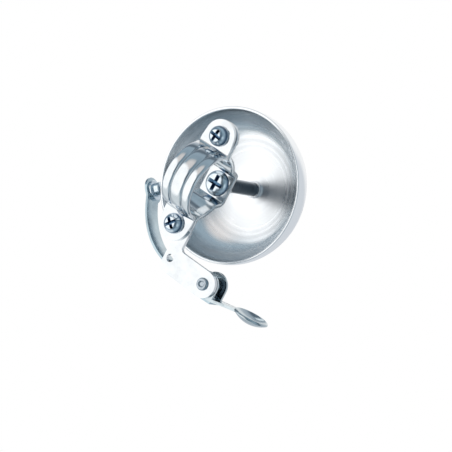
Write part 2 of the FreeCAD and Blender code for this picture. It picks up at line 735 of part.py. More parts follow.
def spring_path():
    """The wire's middle line: leg in the plate, coil round the bush, leg on the web."""
    r = coil_d / 2.0
    play = leg_hole_d / 2.0 - wire_d / 2.0 - leg_touch
    foot = Vector(-leg_hole_x, -screw_y - leg_hole_y - play, 0)
    low = mid_z - coil_turns * coil_pitch / 2.0
    gap = foot - Vector(px, py, 0)
    wide = math.degrees(math.acos(r / gap.Length))
    enter = math.degrees(math.atan2(gap.y, gap.x)) - wide
    reach = web_out - lever_t - wire_d / 2.0 - leg_touch
    span = math.hypot(r, leg_b_len)
    tilt = math.degrees(math.asin(reach / span) - math.atan2(r, leg_b_len))
    leave = -90.0 + tilt

    def on_coil(angle, z):
        t = math.radians(angle)
        return Vector(px + r * math.cos(t), py + r * math.sin(t), z)

    def heading(angle, climb):
        t = math.radians(angle)
        return Vector(math.sin(t), -math.cos(t), climb).normalize()

    sweep = 360.0 * coil_turns + (enter - leave)
    steps = 4 * coil_turns
    slope = coil_pitch / (2.0 * math.pi * r)
    touch = on_coil(enter, low)
    flat = heading(enter, 0.0)
    run = Vector(foot.x, foot.y, low)
    hook = run + flat * leg_bend_r
    edges = [Part.LineSegment(Vector(foot.x, foot.y, plate_z - 0.6),
                              run - Vector(0, 0, leg_bend_r)).toShape(),
             arc_between(run - Vector(0, 0, leg_bend_r), run, hook),
             Part.LineSegment(hook, touch).toShape()]
    for i in range(steps):
        a = enter - sweep * i / steps
        b = enter - sweep * (i + 1) / steps
        za = low + coil_pitch * coil_turns * i / steps
        zb = low + coil_pitch * coil_turns * (i + 1) / steps
        ta = heading(a, slope if i else 0.0)
        tb = heading(b, slope if i + 1 < steps else 0.0)
        edges += biarc(on_coil(a, za), ta, on_coil(b, zb), tb)
    out = heading(leave, 0.0)
    end = on_coil(leave, low + coil_pitch * coil_turns)
    edges.append(Part.LineSegment(end, end + out * leg_b_len).toShape())
    return edges


def make_spring():
    edges = spring_path()
    wire = Part.Wire(edges)
    start = edges[0].Vertexes[0].Point
    loop = Part.Wire(Part.makeCircle(wire_d / 2.0, start, Vector(0, 0, 1)))
    return wire.makePipeShell([loop], True, False)


def print_spring_gap():
    """Prints the least gap between parts of the wire that are over a third of a turn apart."""
    wire = Part.Wire(spring_path())
    count = 900
    points = wire.discretize(Number=count)
    step = wire.Length / (count - 1)
    apart = int(coil_d * math.pi * 0.34 / step)
    least = min((points[i] - points[j]).Length
                for i in range(0, count) for j in range(i + apart, count))
    print("spring: least gap to itself %.2f mm" % (least - wire_d))


parts = {
    "bell_dome": make_dome(),
    "centre_post": make_post(),
    "post_nut": make_post_nut(),
    "dome_washer": make_dome_washer(),
    "crown_washer": make_crown_washer(),
    "crown_nut": make_crown_nut(),
    "clamp_saddle": make_saddle(),
    "clamp_strap": make_strap(),
    "clamp_screw_rear": make_clamp_screw(1),
    "clamp_screw_front": make_clamp_screw(-1),
    "clamp_washer_rear": make_clamp_washer(1),
    "clamp_washer_front": make_clamp_washer(-1),
    "clamp_nut_rear": make_clamp_nut(1),
    "clamp_nut_front": make_clamp_nut(-1),
    "lever_bracket": make_bracket(),
    "pivot_rivet": make_pivot_rivet(),
    "pivot_bush": make_pivot_bush(),
    "pivot_shim": make_pivot_shim(),
    "pivot_washer": make_pivot_washer(),
    "torsion_spring": make_spring(),
    "thumb_lever": make_lever(),
    "hammer_arm": make_arm(),
    "arm_rivets": make_arm_rivets(),
    "hammer": make_hammer(),
}

os.makedirs("parts", exist_ok=True)
for name, shape in parts.items():
    shape.exportStep("parts/%s.step" % name)
    print("%-18s volume %9.2f solids %d valid %s" % (name, shape.Volume, len(shape.Solids), shape.isValid()))
print_spring_gap()
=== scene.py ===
"""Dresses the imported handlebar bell: spun dome, folded sheet, turned screws and plated finishes."""

import json
import math

import bmesh
import bpy
from bpy.props import FloatProperty, FloatVectorProperty, PointerProperty
from bpy.types import Operator, Panel, PropertyGroup
from mathutils import Matrix, Vector


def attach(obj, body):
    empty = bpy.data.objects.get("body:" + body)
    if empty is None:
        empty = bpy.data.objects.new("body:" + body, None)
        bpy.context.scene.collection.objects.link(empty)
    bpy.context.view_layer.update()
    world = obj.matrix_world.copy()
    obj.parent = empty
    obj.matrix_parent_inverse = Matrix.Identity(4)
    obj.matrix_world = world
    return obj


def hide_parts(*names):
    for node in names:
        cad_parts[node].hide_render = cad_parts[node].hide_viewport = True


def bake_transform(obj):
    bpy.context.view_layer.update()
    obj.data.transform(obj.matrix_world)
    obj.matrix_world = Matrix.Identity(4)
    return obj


bl_info = {
    "name": "Handlebar Bell",
    "version": (1, 0, 0),
    "blender": (4, 5, 0),
    "location": "View3D > Sidebar > Bell",
    "description": "Builds a handlebar bell over its packed frame",
    "category": "Add Mesh",
}

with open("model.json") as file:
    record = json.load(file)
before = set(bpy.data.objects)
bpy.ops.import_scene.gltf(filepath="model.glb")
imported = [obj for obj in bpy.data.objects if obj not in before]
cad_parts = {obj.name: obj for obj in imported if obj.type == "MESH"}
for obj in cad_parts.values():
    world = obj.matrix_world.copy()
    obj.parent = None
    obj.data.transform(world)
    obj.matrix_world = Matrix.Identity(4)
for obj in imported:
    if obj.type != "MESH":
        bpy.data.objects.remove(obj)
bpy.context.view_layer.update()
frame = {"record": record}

MM = 0.001
FULL_TURN = 2.0 * math.pi
QUARTER_TURN = math.pi / 2.0
FLAT_TURN = math.radians(0.5)    # faces that meet flatter than this are one face

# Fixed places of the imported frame, in millimetres
RIM_Z = 21.0
SCREW_Y = 17.0
LUG_LOW = -1.0
WASHER_LOW = -1.6
PLATE_Z = 0.2
PLATE_T = 1.5
SADDLE_HIGH = 3.2
HEAD_Z = 11.2
CHANNEL_Z = 13.0
SADDLE_TOP = 14.5
SHOULDER_Z = 37.57
CROWN_Z = 40.17
CROWN_NUT_Z = 40.97
PIVOT = Vector((-20.0, -29.5, 0.0))
PIVOT_R = 4.8
LEVER_LOW = 2.0
LEVER_HIGH = 9.3
LEVER_MID = 5.65
WEB_Y = -33.8
LEVER_T = 1.0
ARM_T = 0.8
SCREW_HOLE_R = 2.2
RIVET_HOLE_R = 1.14
ARM_HOLE_R = 0.84
ARM_RIVETS = (-2.7, 2.7)
HAMMER_WAY = math.radians(48.0)
ALONG = Vector((math.cos(HAMMER_WAY), math.sin(HAMMER_WAY)))
HAMMER = Vector((27.130, -16.929, 23.5))


# Sizes and colours that a user would change

class BellSizes(PropertyGroup):
    """Sizes of the bell's dressed pieces."""

    dome_diameter: FloatProperty(
        name="Dome diameter", description="Outside of the dome at its rim",
        default=0.055, min=0.03, max=0.09, unit="LENGTH", subtype="DISTANCE")
    dome_wall: FloatProperty(
        name="Dome wall", description="Thickness of the dome's metal",
        default=0.0015, min=0.0008, max=0.003, unit="LENGTH", subtype="DISTANCE")
    skirt_thinning: FloatProperty(
        name="Skirt thinning", description="How much thinner the dome's wall is at its rim",
        default=0.0005, min=0.0, max=0.0007, unit="LENGTH", subtype="DISTANCE")
    dome_skirt: FloatProperty(
        name="Dome skirt", description="Straight band between the rim and the shoulder",
        default=0.0022, min=0.0005, max=0.006, unit="LENGTH", subtype="DISTANCE")
    shoulder_radius: FloatProperty(
        name="Shoulder radius", description="Rounding between the dome's side and its crown",
        default=0.014, min=0.006, max=0.02, unit="LENGTH", subtype="DISTANCE")
    crown_radius: FloatProperty(
        name="Crown radius", description="Radius of the dome's shallow top",
        default=0.045, min=0.03, max=0.09, unit="LENGTH", subtype="DISTANCE")
    band_depth: FloatProperty(
        name="Band depth", description="Depth of the grooves between the strap's raised bands",
        default=0.0007, min=0.0, max=0.0008, unit="LENGTH", subtype="DISTANCE")
    edge_round: FloatProperty(
        name="Edge rounding", description="Rounding on the edges of pressed sheet",
        default=0.00022, min=0.00005, max=0.0003, unit="LENGTH", subtype="DISTANCE")
    wire_diameter: FloatProperty(
        name="Spring wire", description="Diameter of the lever spring's wire",
        default=0.0007, min=0.0004, max=0.0009, unit="LENGTH", subtype="DISTANCE")
    recess_depth: FloatProperty(
        name="Screw recess depth", description="Depth of the cross in the screw heads",
        default=0.0015, min=0.0006, max=0.0018, unit="LENGTH", subtype="DISTANCE")


class BellColours(PropertyGroup):
    """Colours of the bell's finishes and of the stage."""

    dome: FloatVectorProperty(
        name="Dome plating", description="Colour of the dome's bright plating",
        default=(0.94, 0.965, 0.985), size=3, min=0.0, max=1.0, subtype="COLOR")
    sheet: FloatVectorProperty(
        name="Sheet plating", description="Colour of the plated clamp and bracket",
        default=(0.76, 0.79, 0.81), size=3, min=0.0, max=1.0, subtype="COLOR")
    screw: FloatVectorProperty(
        name="Screw plating", description="Colour of the bright screws",
        default=(0.74, 0.82, 0.88), size=3, min=0.0, max=1.0, subtype="COLOR")
    shank: FloatVectorProperty(
        name="Post's shank", description="Colour of the dark oiled steel of the post's shank",
        default=(0.10, 0.125, 0.15), size=3, min=0.0, max=1.0, subtype="COLOR")
    # Painted shade: the dark blue-grey laid on the flanks of the screw heads
    blued: FloatVectorProperty(
        name="Blued flanks", description="Colour of the blued flanks of the screw heads",
        default=(0.08, 0.16, 0.26), size=3, min=0.0, max=1.0, subtype="COLOR")
    # Painted shade deep in the crosses of the screw heads
    recess: FloatVectorProperty(
        name="Screw recesses", description="Colour deep in the crosses of the screw heads",
        default=(0.13, 0.21, 0.31), size=3, min=0.0, max=1.0, subtype="COLOR")
    nut: FloatVectorProperty(
        name="Nut plating", description="Colour of the nuts and washers",
        default=(0.78, 0.81, 0.84), size=3, min=0.0, max=1.0, subtype="COLOR")
    rivet: FloatVectorProperty(
        name="Rivet steel", description="Colour of the rivets and the bush",
        default=(0.46, 0.52, 0.57), size=3, min=0.0, max=1.0, subtype="COLOR")
    wire: FloatVectorProperty(
        name="Spring wire", description="Colour of the lever spring's wire",
        default=(0.20, 0.25, 0.29), size=3, min=0.0, max=1.0, subtype="COLOR")
    # Painted shade: the lever's plating is the sheet plating in a darker tint
    lever: FloatVectorProperty(
        name="Lever plating", description="Colour of the thumb lever's duller plating",
        default=(0.56, 0.63, 0.66), size=3, min=0.0, max=1.0, subtype="COLOR")
    spring: FloatVectorProperty(
        name="Spring steel", description="Colour of the hammer's spring strip",
        default=(0.42, 0.52, 0.57), size=3, min=0.0, max=1.0, subtype="COLOR")
    floor: FloatVectorProperty(
        name="Floor", description="Colour of the pale floor",
        default=(0.93, 0.93, 0.94), size=3, min=0.0, max=1.0, subtype="COLOR")


def size(name):
    """One of the sizes, in millimetres."""
    return getattr(bpy.context.scene.bell_sizes, name) / MM


def colour(name):
    """One of the colours."""
    return tuple(getattr(bpy.context.scene.bell_colours, name))


# Bench tools: all of them work in millimetres

def corners_in(items):
    return [item for item in items if isinstance(item, bmesh.types.BMVert)]


def edges_in(items):
    return [item for item in items if isinstance(item, bmesh.types.BMEdge)]


def eased(share):
    """A share held between 0 and 1 that starts and ends gently."""
    share = min(1.0, max(0.0, share))
    return share * share * (3.0 - 2.0 * share)


def ball_radius(radius, depth):
    """Radius of the ball that a shallow cap is cut from."""
    return (radius ** 2 + depth ** 2) / (2.0 * depth)


def outward(bm):
    """Turns every face outwards."""
    bmesh.ops.recalc_face_normals(bm, faces=bm.faces[:])
    return bm


def shifted(bm, x, y, z=0.0):
    bmesh.ops.translate(bm, vec=(x, y, z), verts=bm.verts[:])
    return bm


def swung(bm, angle, axis="X"):
    """Turns a piece about an axis through the origin."""
    bmesh.ops.rotate(bm, cent=(0, 0, 0), matrix=Matrix.Rotation(angle, 3, axis), verts=bm.verts[:])
    return bm


def line(bm, start, points):
    """Draws straights from a corner through (radius, height) pairs, and gives the last corner."""
    for r, z in points:
        end = bm.verts.new((r, 0.0, z))
        bm.edges.new((start, end))
        start = end
    return start


def arc(bm, start, centre, axis, angle, steps):
    """Draws an arc from a corner, and gives its last corner."""
    made = bmesh.ops.spin(bm, geom=[start], cent=centre, axis=axis, dvec=(0, 0, 0),
                          angle=angle, steps=steps)
    return corners_in(made["geom_last"])[0]


def turned(bm, steps):
    """Turns all that is drawn a full circle round Z, into one skin."""
    bmesh.ops.spin(bm, geom=bm.verts[:] + bm.edges[:], cent=(0, 0, 0), axis=(0, 0, 1), dvec=(0, 0, 0),
                   angle=FULL_TURN, steps=steps, use_merge=True)
    bmesh.ops.remove_doubles(bm, verts=bm.verts[:], dist=1e-3)
    return outward(bm)


def spun(points, closed=False, steps=96):
    """Turns an outline of (radius, height) pairs a full circle round Z."""
    bm = bmesh.new()
    first = bm.verts.new((points[0][0], 0.0, points[0][1]))
    last = line(bm, first, points[1:])
    if closed:
        bm.edges.new((last, first))
    return turned(bm, steps)


def walled(bm, thick):
    """Gives an upward bulging skin its thickness."""
    if sum(f.normal.z for f in bm.faces) < 0:
        bmesh.ops.reverse_faces(bm, faces=bm.faces[:])
    bmesh.ops.solidify(bm, geom=bm.faces[:], thickness=thick)
    return outward(bm)


def plate(points, way):
    """A flat piece with these corners and this thickness, and the corners of its far face."""
    bm = bmesh.new()
    face = bm.faces.new([bm.verts.new(point) for point in points])
    far = corners_in(bmesh.ops.extrude_face_region(bm, geom=[face])["geom"])
    bmesh.ops.translate(bm, vec=way, verts=far)
    return outward(bm), far


def rod(radius, low, high, x=0.0, y=0.0, steps=72):
    """A plain round tool along Z."""
    bm = bmesh.new()
    bmesh.ops.create_cone(bm, cap_ends=True, cap_tris=False, segments=steps, radius1=radius,
                          radius2=radius, depth=high - low,
                          matrix=Matrix.Translation((x, y, (low + high) / 2.0)))
    return bm


def cross_rod(radius, reach, x, y, z, steps=40):
    """A plain round tool along Y that reaches as far to both sides of a place."""
    return shifted(swung(rod(radius, -reach, reach, steps=steps), QUARTER_TURN), x, y, z)


def block(low, high):
    """A box between two corners."""
    bm = bmesh.new()
    low, high = Vector(low), Vector(high)
    bmesh.ops.create_cube(bm, size=1.0, matrix=Matrix.Translation((low + high) / 2.0)
                          @ Matrix.Diagonal((*(high - low), 1.0)))
    return bm


def in_order(bm):
    """Rebuilds a mesh with its corners and faces in order of place, so that it bevels alike."""
    corners = sorted(bm.verts, key=lambda v: tuple(round(c, 5) for c in v.co))
    spots = [v.co.copy() for v in corners]
    number = {v: i for i, v in enumerate(corners)}
    rings = []
    for face in bm.faces:
        ring = [number[v] for v in face.verts]
        first = ring.index(min(ring))
        rings.append(ring[first:] + ring[:first])
    bm.clear()
    made = [bm.verts.new(spot) for spot in spots]
    for ring in sorted(rings):
        bm.faces.new([made[i] for i in ring])
    bm.normal_update()
    return bm


def carve(bm, tool, operation="DIFFERENCE"):
    """Cuts, joins or trims one closed mesh by another, and frees the tool."""
    bench = []
    for source in (bm, tool):
        mesh = bpy.data.meshes.new("bench")
        source.to_mesh(mesh)
        piece = bpy.data.objects.new("bench", mesh)
        bpy.context.scene.collection.objects.link(piece)
        bench.append(piece)
    step = bench[0].modifiers.new("carve", "BOOLEAN")
    step.operation = operation
    step.solver = "EXACT"
    step.object = bench[1]
    graph = bpy.context.evaluated_depsgraph_get()
    made = bpy.data.meshes.new_from_object(bench[0].evaluated_get(graph))
    bm.clear()
    bm.from_mesh(made)
    tool.free()
    for piece in bench:
        mesh = piece.data
        bpy.data.objects.remove(piece)
        bpy.data.meshes.remove(mesh)
    bpy.data.meshes.remove(made)
    bmesh.ops.remove_doubles(bm, verts=bm.verts[:], dist=1e-4)
    if not bm.faces:
        raise RuntimeError("carving left nothing of the piece")
    return in_order(bm)


def flattened(bm):
    """Joins faces that lie in one plane."""
    bmesh.ops.dissolve_limit(bm, angle_limit=FLAT_TURN, verts=bm.verts[:], edges=bm.edges[:])
    return bm


def stretched(discs, corners, low, high, steps=72):
    """A flat plate stretched tight round discs (x, y, r) and corners (x, y)."""
    bm = bmesh.new()
    for z in (low, high):
        for x, y, r in discs:
            bmesh.ops.create_circle(bm, cap_ends=False, radius=r, segments=steps,
                                    matrix=Matrix.Translation((x, y, z)))
        for x, y in corners:
            bm.verts.new((x, y, z))
    bmesh.ops.convex_hull(bm, input=bm.verts[:], use_existing_faces=False)
    bmesh.ops.delete(bm, geom=[v for v in bm.verts if not v.link_faces], context="VERTS")
    bmesh.ops.delete(bm, geom=[e for e in bm.edges if not e.link_faces], context="EDGES")
    return in_order(outward(flattened(in_order(bm))))


def rounded(bm, edges, width, segments, profile=0.5):
    """Rounds these edges."""
    if not edges:
        raise RuntimeError("there is no edge to round")
    bmesh.ops.bevel(bm, geom=edges, offset=width, offset_type="OFFSET", segments=segments,
                    profile=profile, affect="EDGES", clamp_overlap=True, material=-1)
    return bm


def soften(bm, width, angle=50.0, segments=3):
    """Rounds every edge that turns by more than the angle."""
    limit = math.radians(angle)
    edges = [e for e in bm.edges if len(e.link_faces) == 2 and e.calc_face_angle(0.0) > limit]
    return rounded(bm, edges, width, segments)


def ring_edges(bm, radius, *heights, slack=0.02):
    """Edges round Z at a radius and at one of these heights."""
    return [e for e in bm.edges
            if all(abs(v.co.xy.length - radius) < slack for v in e.verts)
            and any(all(abs(v.co.z - z) < slack for v in e.verts) for z in heights)]


def sliced(bm, axis, places):
    """Cuts a flat blank across at each place, so that it can bend there."""
    across = Vector((0.0, 0.0, 0.0))
    across[axis] = 1.0
    for place in places:
        bmesh.ops.bisect_plane(bm, geom=bm.verts[:] + bm.edges[:] + bm.faces[:], dist=1e-4,
                               plane_co=across * place, plane_no=across)
    return bm


def steps_between(a, b, step):
    """Even places from a to b, no further apart than the step."""
    count = max(1, math.ceil(abs(b - a) / step))
    return [a + (b - a) * i / count for i in range(count + 1)]


class Fold:
    """A line of straights and rounded corners, in a plane, that a flat blank is folded along."""

    def __init__(self, corners, radii):
        self.runs = []
        here = Vector(corners[0])
        for i in range(1, len(corners)):
            corner = Vector(corners[i])
            radius = radii[i]
            heading = (corner - Vector(corners[i - 1])).normalized()
            if not radius:
                self.runs.append(((corner - here).length, here, heading, None))
                here = corner
                continue
            onward = (Vector(corners[i + 1]) - corner).normalized()
            turn = -heading.angle_signed(onward)
            back = radius * math.tan(abs(turn) / 2.0)
            start = corner - heading * back
            self.runs.append(((start - here).length, here, heading, None))
            self.runs.append((radius * abs(turn), start, heading, math.copysign(radius, turn)))
            here = corner + onward * back
        self.length = sum(run[0] for run in self.runs)

    def at(self, s):
        """Place and unit heading at a distance along the line."""
        for i, (length, start, heading, radius) in enumerate(self.runs):
            if s > length and i + 1 < len(self.runs):
                s -= length
                continue
            if radius is None:
                return start + heading * s, heading
            left = Vector((-heading.y, heading.x)) * radius
            swing = Matrix.Rotation(s / radius, 2)
            return start + left - swing @ left, swing @ heading
        raise RuntimeError("the fold has no runs")

    def reach(self, along, value):
        """Distance at which the line's place has this value along a direction."""
        beyond, halvings = 5.0, 48
        low, high = -beyond, self.length + beyond
        for _ in range(halvings):
            middle = (low + high) / 2.0
            if self.at(middle)[0].dot(along) < value:
                low = middle
            else:
                high = middle
        return (low + high) / 2.0


def placed(bm, name, material):
    """Turns a bench mesh into an object with one material."""
    mesh = bpy.data.meshes.new(name)
    bm.to_mesh(mesh)
    bm.free()
    mesh.materials.append(material)
    piece = bpy.data.objects.new(name, mesh)
    bpy.context.scene.collection.objects.link(piece)
    return piece


def body_of_node(node):
    """The body that carries a CAD node."""
    for body, nodes in frame["record"]["behaviour"]["bodies"].items():
        if node in nodes:
            return body
    raise RuntimeError("no body holds the node %s" % node)


def seat(bm, name, slot, *nodes, smooth=32.0, finish=None, twisted=None):
    """Turns a finished bench mesh into a piece that rides with its CAD nodes and stands for them.

    A twisted piece has its place baked into its mesh and rides with no body; the body and heights that
    twisted gives are not used.
    """
    in_order(bm)
    bmesh.ops.transform(bm, matrix=Matrix.Scale(MM, 4), verts=bm.verts[:])
    piece = placed(bm, name, finished(finish or FINISHES[slot]))
    piece.data.shade_smooth()
    piece.data.set_sharp_from_angle(angle=math.radians(smooth))
    body = body_of_node(nodes[0])
    if twisted:
        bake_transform(piece)
    else:
        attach(piece, body)
    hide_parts(*nodes)
    return piece


# Finishes: their lengths are in metres, and noise scales are per metre

MIX_LOW, MIX_HIGH, MIX_RESULT = 6, 7, 2    # a mix node's colour sockets


class Bench:
    """The nodes of one material, or of the world's light."""

    def __init__(self, holder):
        holder.use_nodes = True
        self.holder = holder
        self.nodes = holder.node_tree.nodes
        self.links = holder.node_tree.links
        self.nodes.clear()

    def add(self, kind, given=None, **values):
        """A node with these values. What is given to its inputs is joined if it is a socket."""
        node = self.nodes.new(kind)
        for key, value in values.items():
            setattr(node, key, value)
        for key, value in (given or {}).items():
            if isinstance(value, bpy.types.NodeSocket):
                self.links.new(value, node.inputs[key])
            else:
                node.inputs[key].default_value = value
        return node

    def mixed(self, share, below, above):
        """One colour over another; the upper one is a plain tint or a socket."""
        above = (*above, 1.0) if isinstance(above, tuple) else above
        node = self.add("ShaderNodeMix", {"Factor": share, MIX_LOW: below, MIX_HIGH: above},
                        data_type="RGBA")
        return node.outputs[MIX_RESULT]

    def seen(self, light, view, output):
        """Ends in one shader for the light's way round the stage, and another for the camera's view."""
        path = self.add("ShaderNodeLightPath")
        mix = self.add("ShaderNodeMixShader", {"Fac": path.outputs["Is Camera Ray"], 1: light, 2: view})
        self.add(output, {"Surface": mix.outputs["Shader"]})
        return self.holder


class Finish(Bench):
    """The nodes of one metal."""

    def __init__(self, name):
        super().__init__(bpy.data.materials.new(name))
        coordinates = self.add("ShaderNodeTexCoord")
        self.place = coordinates.outputs["Object"]
        self.normal = coordinates.outputs["Normal"]

    def moved(self, location=(0, 0, 0), scale=(1, 1, 1), rotation=(0, 0, 0)):
        """The surface's place, shifted, turned and stretched."""
        return self.add("ShaderNodeMapping", {"Vector": self.place, "Location": location,
                                              "Scale": scale, "Rotation": rotation}).outputs["Vector"]

    def worked(self, operation, first, second):
        """Two values put together by one sum."""
        return self.add("ShaderNodeMath", {0: first, 1: second}, operation=operation).outputs["Value"]

    def from_axis(self, x=0.0, y=0.0):
        """Distance from an upright axis through x, y."""
        flat = self.moved(location=(-x, -y, 0), scale=(1, 1, 0))
        return self.add("ShaderNodeVectorMath", {0: flat}, operation="LENGTH").outputs["Value"]

    def lifted(self, low, high, most=1.0):
        """Rises from 0 to most between two heights."""
        height = self.add("ShaderNodeSeparateXYZ", {"Vector": self.place})
        return self.ranged(height.outputs["Z"], low, high, 0.0, most)

    def faces_out(self, height):
        """1 on the outside of a shell and 0 on its inside, told from a point on the axis."""
        away = self.moved(location=(0, 0, -height))
        side = self.add("ShaderNodeVectorMath", {0: away, 1: self.normal}, operation="DOT_PRODUCT")
        return self.worked("GREATER_THAN", side.outputs["Value"], 0.0)

    def noise(self, source, scale, detail=4.0, kind="3D"):
        """Even noise over a place, or along a single value."""
        given = {"W" if kind == "1D" else "Vector": source, "Scale": scale, "Detail": detail,
                 "Roughness": 0.55}
        return self.add("ShaderNodeTexNoise", given, noise_dimensions=kind).outputs["Fac"]

    def ranged(self, source, low, high, to_low, to_high):
        """A value brought from one range into another."""
        return self.add("ShaderNodeMapRange", {"Value": source, "From Min": low, "From Max": high,
                                               "To Min": to_low, "To Max": to_high}).outputs["Result"]

    def tinted(self, source, base, dark, light, low, high):
        """A colour that drifts between two shades of its base."""
        node = self.add("ShaderNodeValToRGB", {"Fac": source})
        for stop, factor, place in zip(node.color_ramp.elements, (dark, light), (low, high)):
            stop.position = place
            stop.color = (*(c * factor for c in base), 1.0)
        return node.outputs["Color"]

    def raised(self, source, distance, strength, under=None):
        """Fine relief, over another relief if there is one."""
        given = {"Distance": distance, "Strength": strength, "Height": source}
        if under is not None:
            given["Normal"] = under
        return self.add("ShaderNodeBump", given).outputs["Normal"]

    def done(self, base, rough, normal):
        """Ends in a metal with this colour, roughness and relief."""
        metal = self.add("ShaderNodeBsdfPrincipled", {"Metallic": 1.0, "Base Color": base,
                                                      "Roughness": rough, "Normal": normal})
        self.add("ShaderNodeOutputMaterial", {"Surface": metal.outputs["BSDF"]})
        return self.holder


def finished(recipe):
    """The material of a recipe, which is made once."""
    name = "bell_" + recipe.__name__
    return bpy.data.materials.get(name) or recipe(Finish(name))


def polished_dome(f):
    """Bright plating over metal that was spun on a lathe: rings in sheen, fine haze."""
    radius = f.from_axis()
    rings = f.noise(radius, 900.0, detail=3.0, kind="1D")
    broad = f.noise(radius, 210.0, detail=2.0, kind="1D")
    base = f.tinted(broad, colour("dome"), 0.87, 1.0, 0.36, 0.6)
    marks = f.worked("MULTIPLY", f.noise(f.place, 160.0, detail=5.0), rings)
    outside = f.ranged(marks, 0.12, 0.4, 0.05, 0.14)
    inside = f.worked("ADD", f.lifted(0.030, 0.038, 0.09), f.ranged(marks, 0.12, 0.4, 0.18, 0.26))
    rough = f.add("ShaderNodeMix", {"Factor": f.faces_out(height=0.015), "A": inside, "B": outside},
                  data_type="FLOAT")
    return f.done(base, rough.outputs["Result"], f.raised(rings, 0.000004, 0.15))


def plated_sheet(f, plating="sheet"):
    """Bright plating on pressed sheet: faint waviness, hairline scratches and cloudy patches."""
    cloud = f.noise(f.place, 260.0)
    hair = f.noise(f.moved(scale=(9000, 700, 5000), rotation=(0.1, 0.2, 0.5)), 1.0, detail=2.0)
    base = f.tinted(cloud, colour(plating), 0.9, 1.0, 0.32, 0.62)
    wave = f.raised(cloud, 0.00006, 0.5)
    relief = f.raised(hair, 0.000004, 0.4, under=wave)
    return f.done(base, f.ranged(hair, 0.3, 0.75, 0.06, 0.19), relief)


def plated_lever(f):
    """The same plating on the thumb lever in a darker tint, as painted shade."""
    return plated_sheet(f, "lever")


def recess_share(f, x, y, face, reach):
    """Where painted shade goes: 1 in the cross of a screw head and 0 elsewhere, for an upright screw at
    x, y.
    """
    near = f.ranged(f.from_axis(x, y), reach * 0.9, reach, 1.0, 0.0)
    return f.worked("MULTIPLY", near, f.lifted(face + 0.0001, face + 0.0005))


def bright_screw(f):
    """Hard bright plating on the clamp screws, with painted dark blue shade on the heads' flanks and
    painted shade deep in their crosses.
    """
    face, cross_reach = -0.004, 0.0026
    cloud = f.noise(f.place, 700.0, detail=3.0)
    fine = f.noise(f.place, 5200.0, detail=2.0)
    plain = f.tinted(cloud, colour("screw"), 0.82, 1.0, 0.3, 0.62)
    head = plain
    for y in (-SCREW_Y * MM, SCREW_Y * MM):
        # painted shade deep in each head's cross
        head = f.mixed(recess_share(f, 0.0, y, face, cross_reach), head, colour("recess"))
    # painted shade: the heads' flanks are darkened to stand in for their dark reflection and shadow side
    head = f.mixed(f.lifted(-0.0031, -0.0022), head, colour("blued"))
    base = f.mixed(f.lifted(0.0, 0.001), head, plain)
    return f.done(base, f.ranged(fine, 0.3, 0.7, 0.05, 0.16), f.raised(fine, 0.000012, 0.35))


def post_steel(f):
    """Bright plating on the post's head with painted shade on its flank and in its cross, and dark oiled
    steel up its shank.
    """
    cross_reach = 0.0033
    cloud = f.noise(f.place, 700.0, detail=3.0)
    marks = f.noise(f.moved(scale=(300, 300, 4200)), 1.0, detail=3.0)
    head = f.tinted(cloud, colour("screw"), 0.8, 1.0, 0.3, 0.62)
    # painted shade deep in the cross of the post's head
    head = f.mixed(recess_share(f, 0.0, 0.0, HEAD_Z * MM, cross_reach), head, colour("recess"))
    # painted shade on the flank of the post's head
    head = f.mixed(f.lifted(0.0119, 0.0127), head, colour("blued"))
    shank = f.tinted(marks, colour("shank"), 0.7, 1.4, 0.3, 0.7)
    base = f.mixed(f.lifted(0.0150, 0.0156), head, shank)
    return f.done(base, f.ranged(marks, 0.3, 0.7, 0.06, 0.2), f.raised(marks, 0.000012, 0.35))


def plated_nut(f):
    """Duller plating on nuts and washers, a little grainy."""
    grain = f.noise(f.place, 6000.0, detail=3.0)
    base = f.tinted(f.noise(f.place, 500.0), colour("nut"), 0.84, 1.0, 0.3, 0.65)
    return f.done(base, f.ranged(grain, 0.3, 0.7, 0.18, 0.34), f.raised(grain, 0.000009, 0.3))


def rivet_steel(f):
    """Steel that was upset in a press: small dents and a satin face."""
    dents = f.noise(f.place, 1500.0, detail=3.0)
    grain = f.noise(f.place, 7000.0, detail=2.0)
    base = f.tinted(dents, colour("rivet"), 0.72, 1.0, 0.32, 0.6)
    return f.done(base, f.ranged(grain, 0.3, 0.7, 0.16, 0.32), f.raised(dents, 0.00002, 0.3))


def drawn_wire(f):
    """Drawn spring wire: fine streaks and a cool tone."""
    streak = f.noise(f.moved(scale=(900, 900, 3600)), 1.0, detail=2.0)
    base = f.tinted(streak, colour("wire"), 0.8, 1.2, 0.3, 0.7)
    return f.done(base, f.ranged(streak, 0.3, 0.7, 0.14, 0.3), f.raised(streak, 0.000004, 0.3))


def spring_strip(f):
    """Blue-grey spring strip, rolled along its length."""
    rolled = f.noise(f.moved(scale=(220, 220, 2600)), 1.0, detail=3.0)
    base = f.tinted(f.noise(f.place, 190.0, detail=3.0), colour("spring"), 0.86, 1.12, 0.3, 0.7)
    return f.done(base, f.ranged(rolled, 0.3, 0.7, 0.1, 0.24), f.raised(rolled, 0.000003, 0.3))


def turned_hammer(f):
    """The striker's turned steel, plated and slightly worn."""
    grain = f.noise(f.place, 5000.0, detail=2.0)
    base = f.tinted(f.noise(f.place, 900.0), colour("screw"), 0.8, 1.02, 0.3, 0.65)
    return f.done(base, f.ranged(grain, 0.3, 0.7, 0.08, 0.22), f.raised(grain, 0.00001, 0.4))


FINISHES = {
    "dome_metal": polished_dome,
    "plated_sheet": plated_sheet,
    "bright_screw": bright_screw,
    "plated_nut": plated_nut,
    "rivet_steel": rivet_steel,
    "spring_wire": drawn_wire,
    "spring_strip": spring_strip,
    "hammer_steel": turned_hammer,
}


# Dome

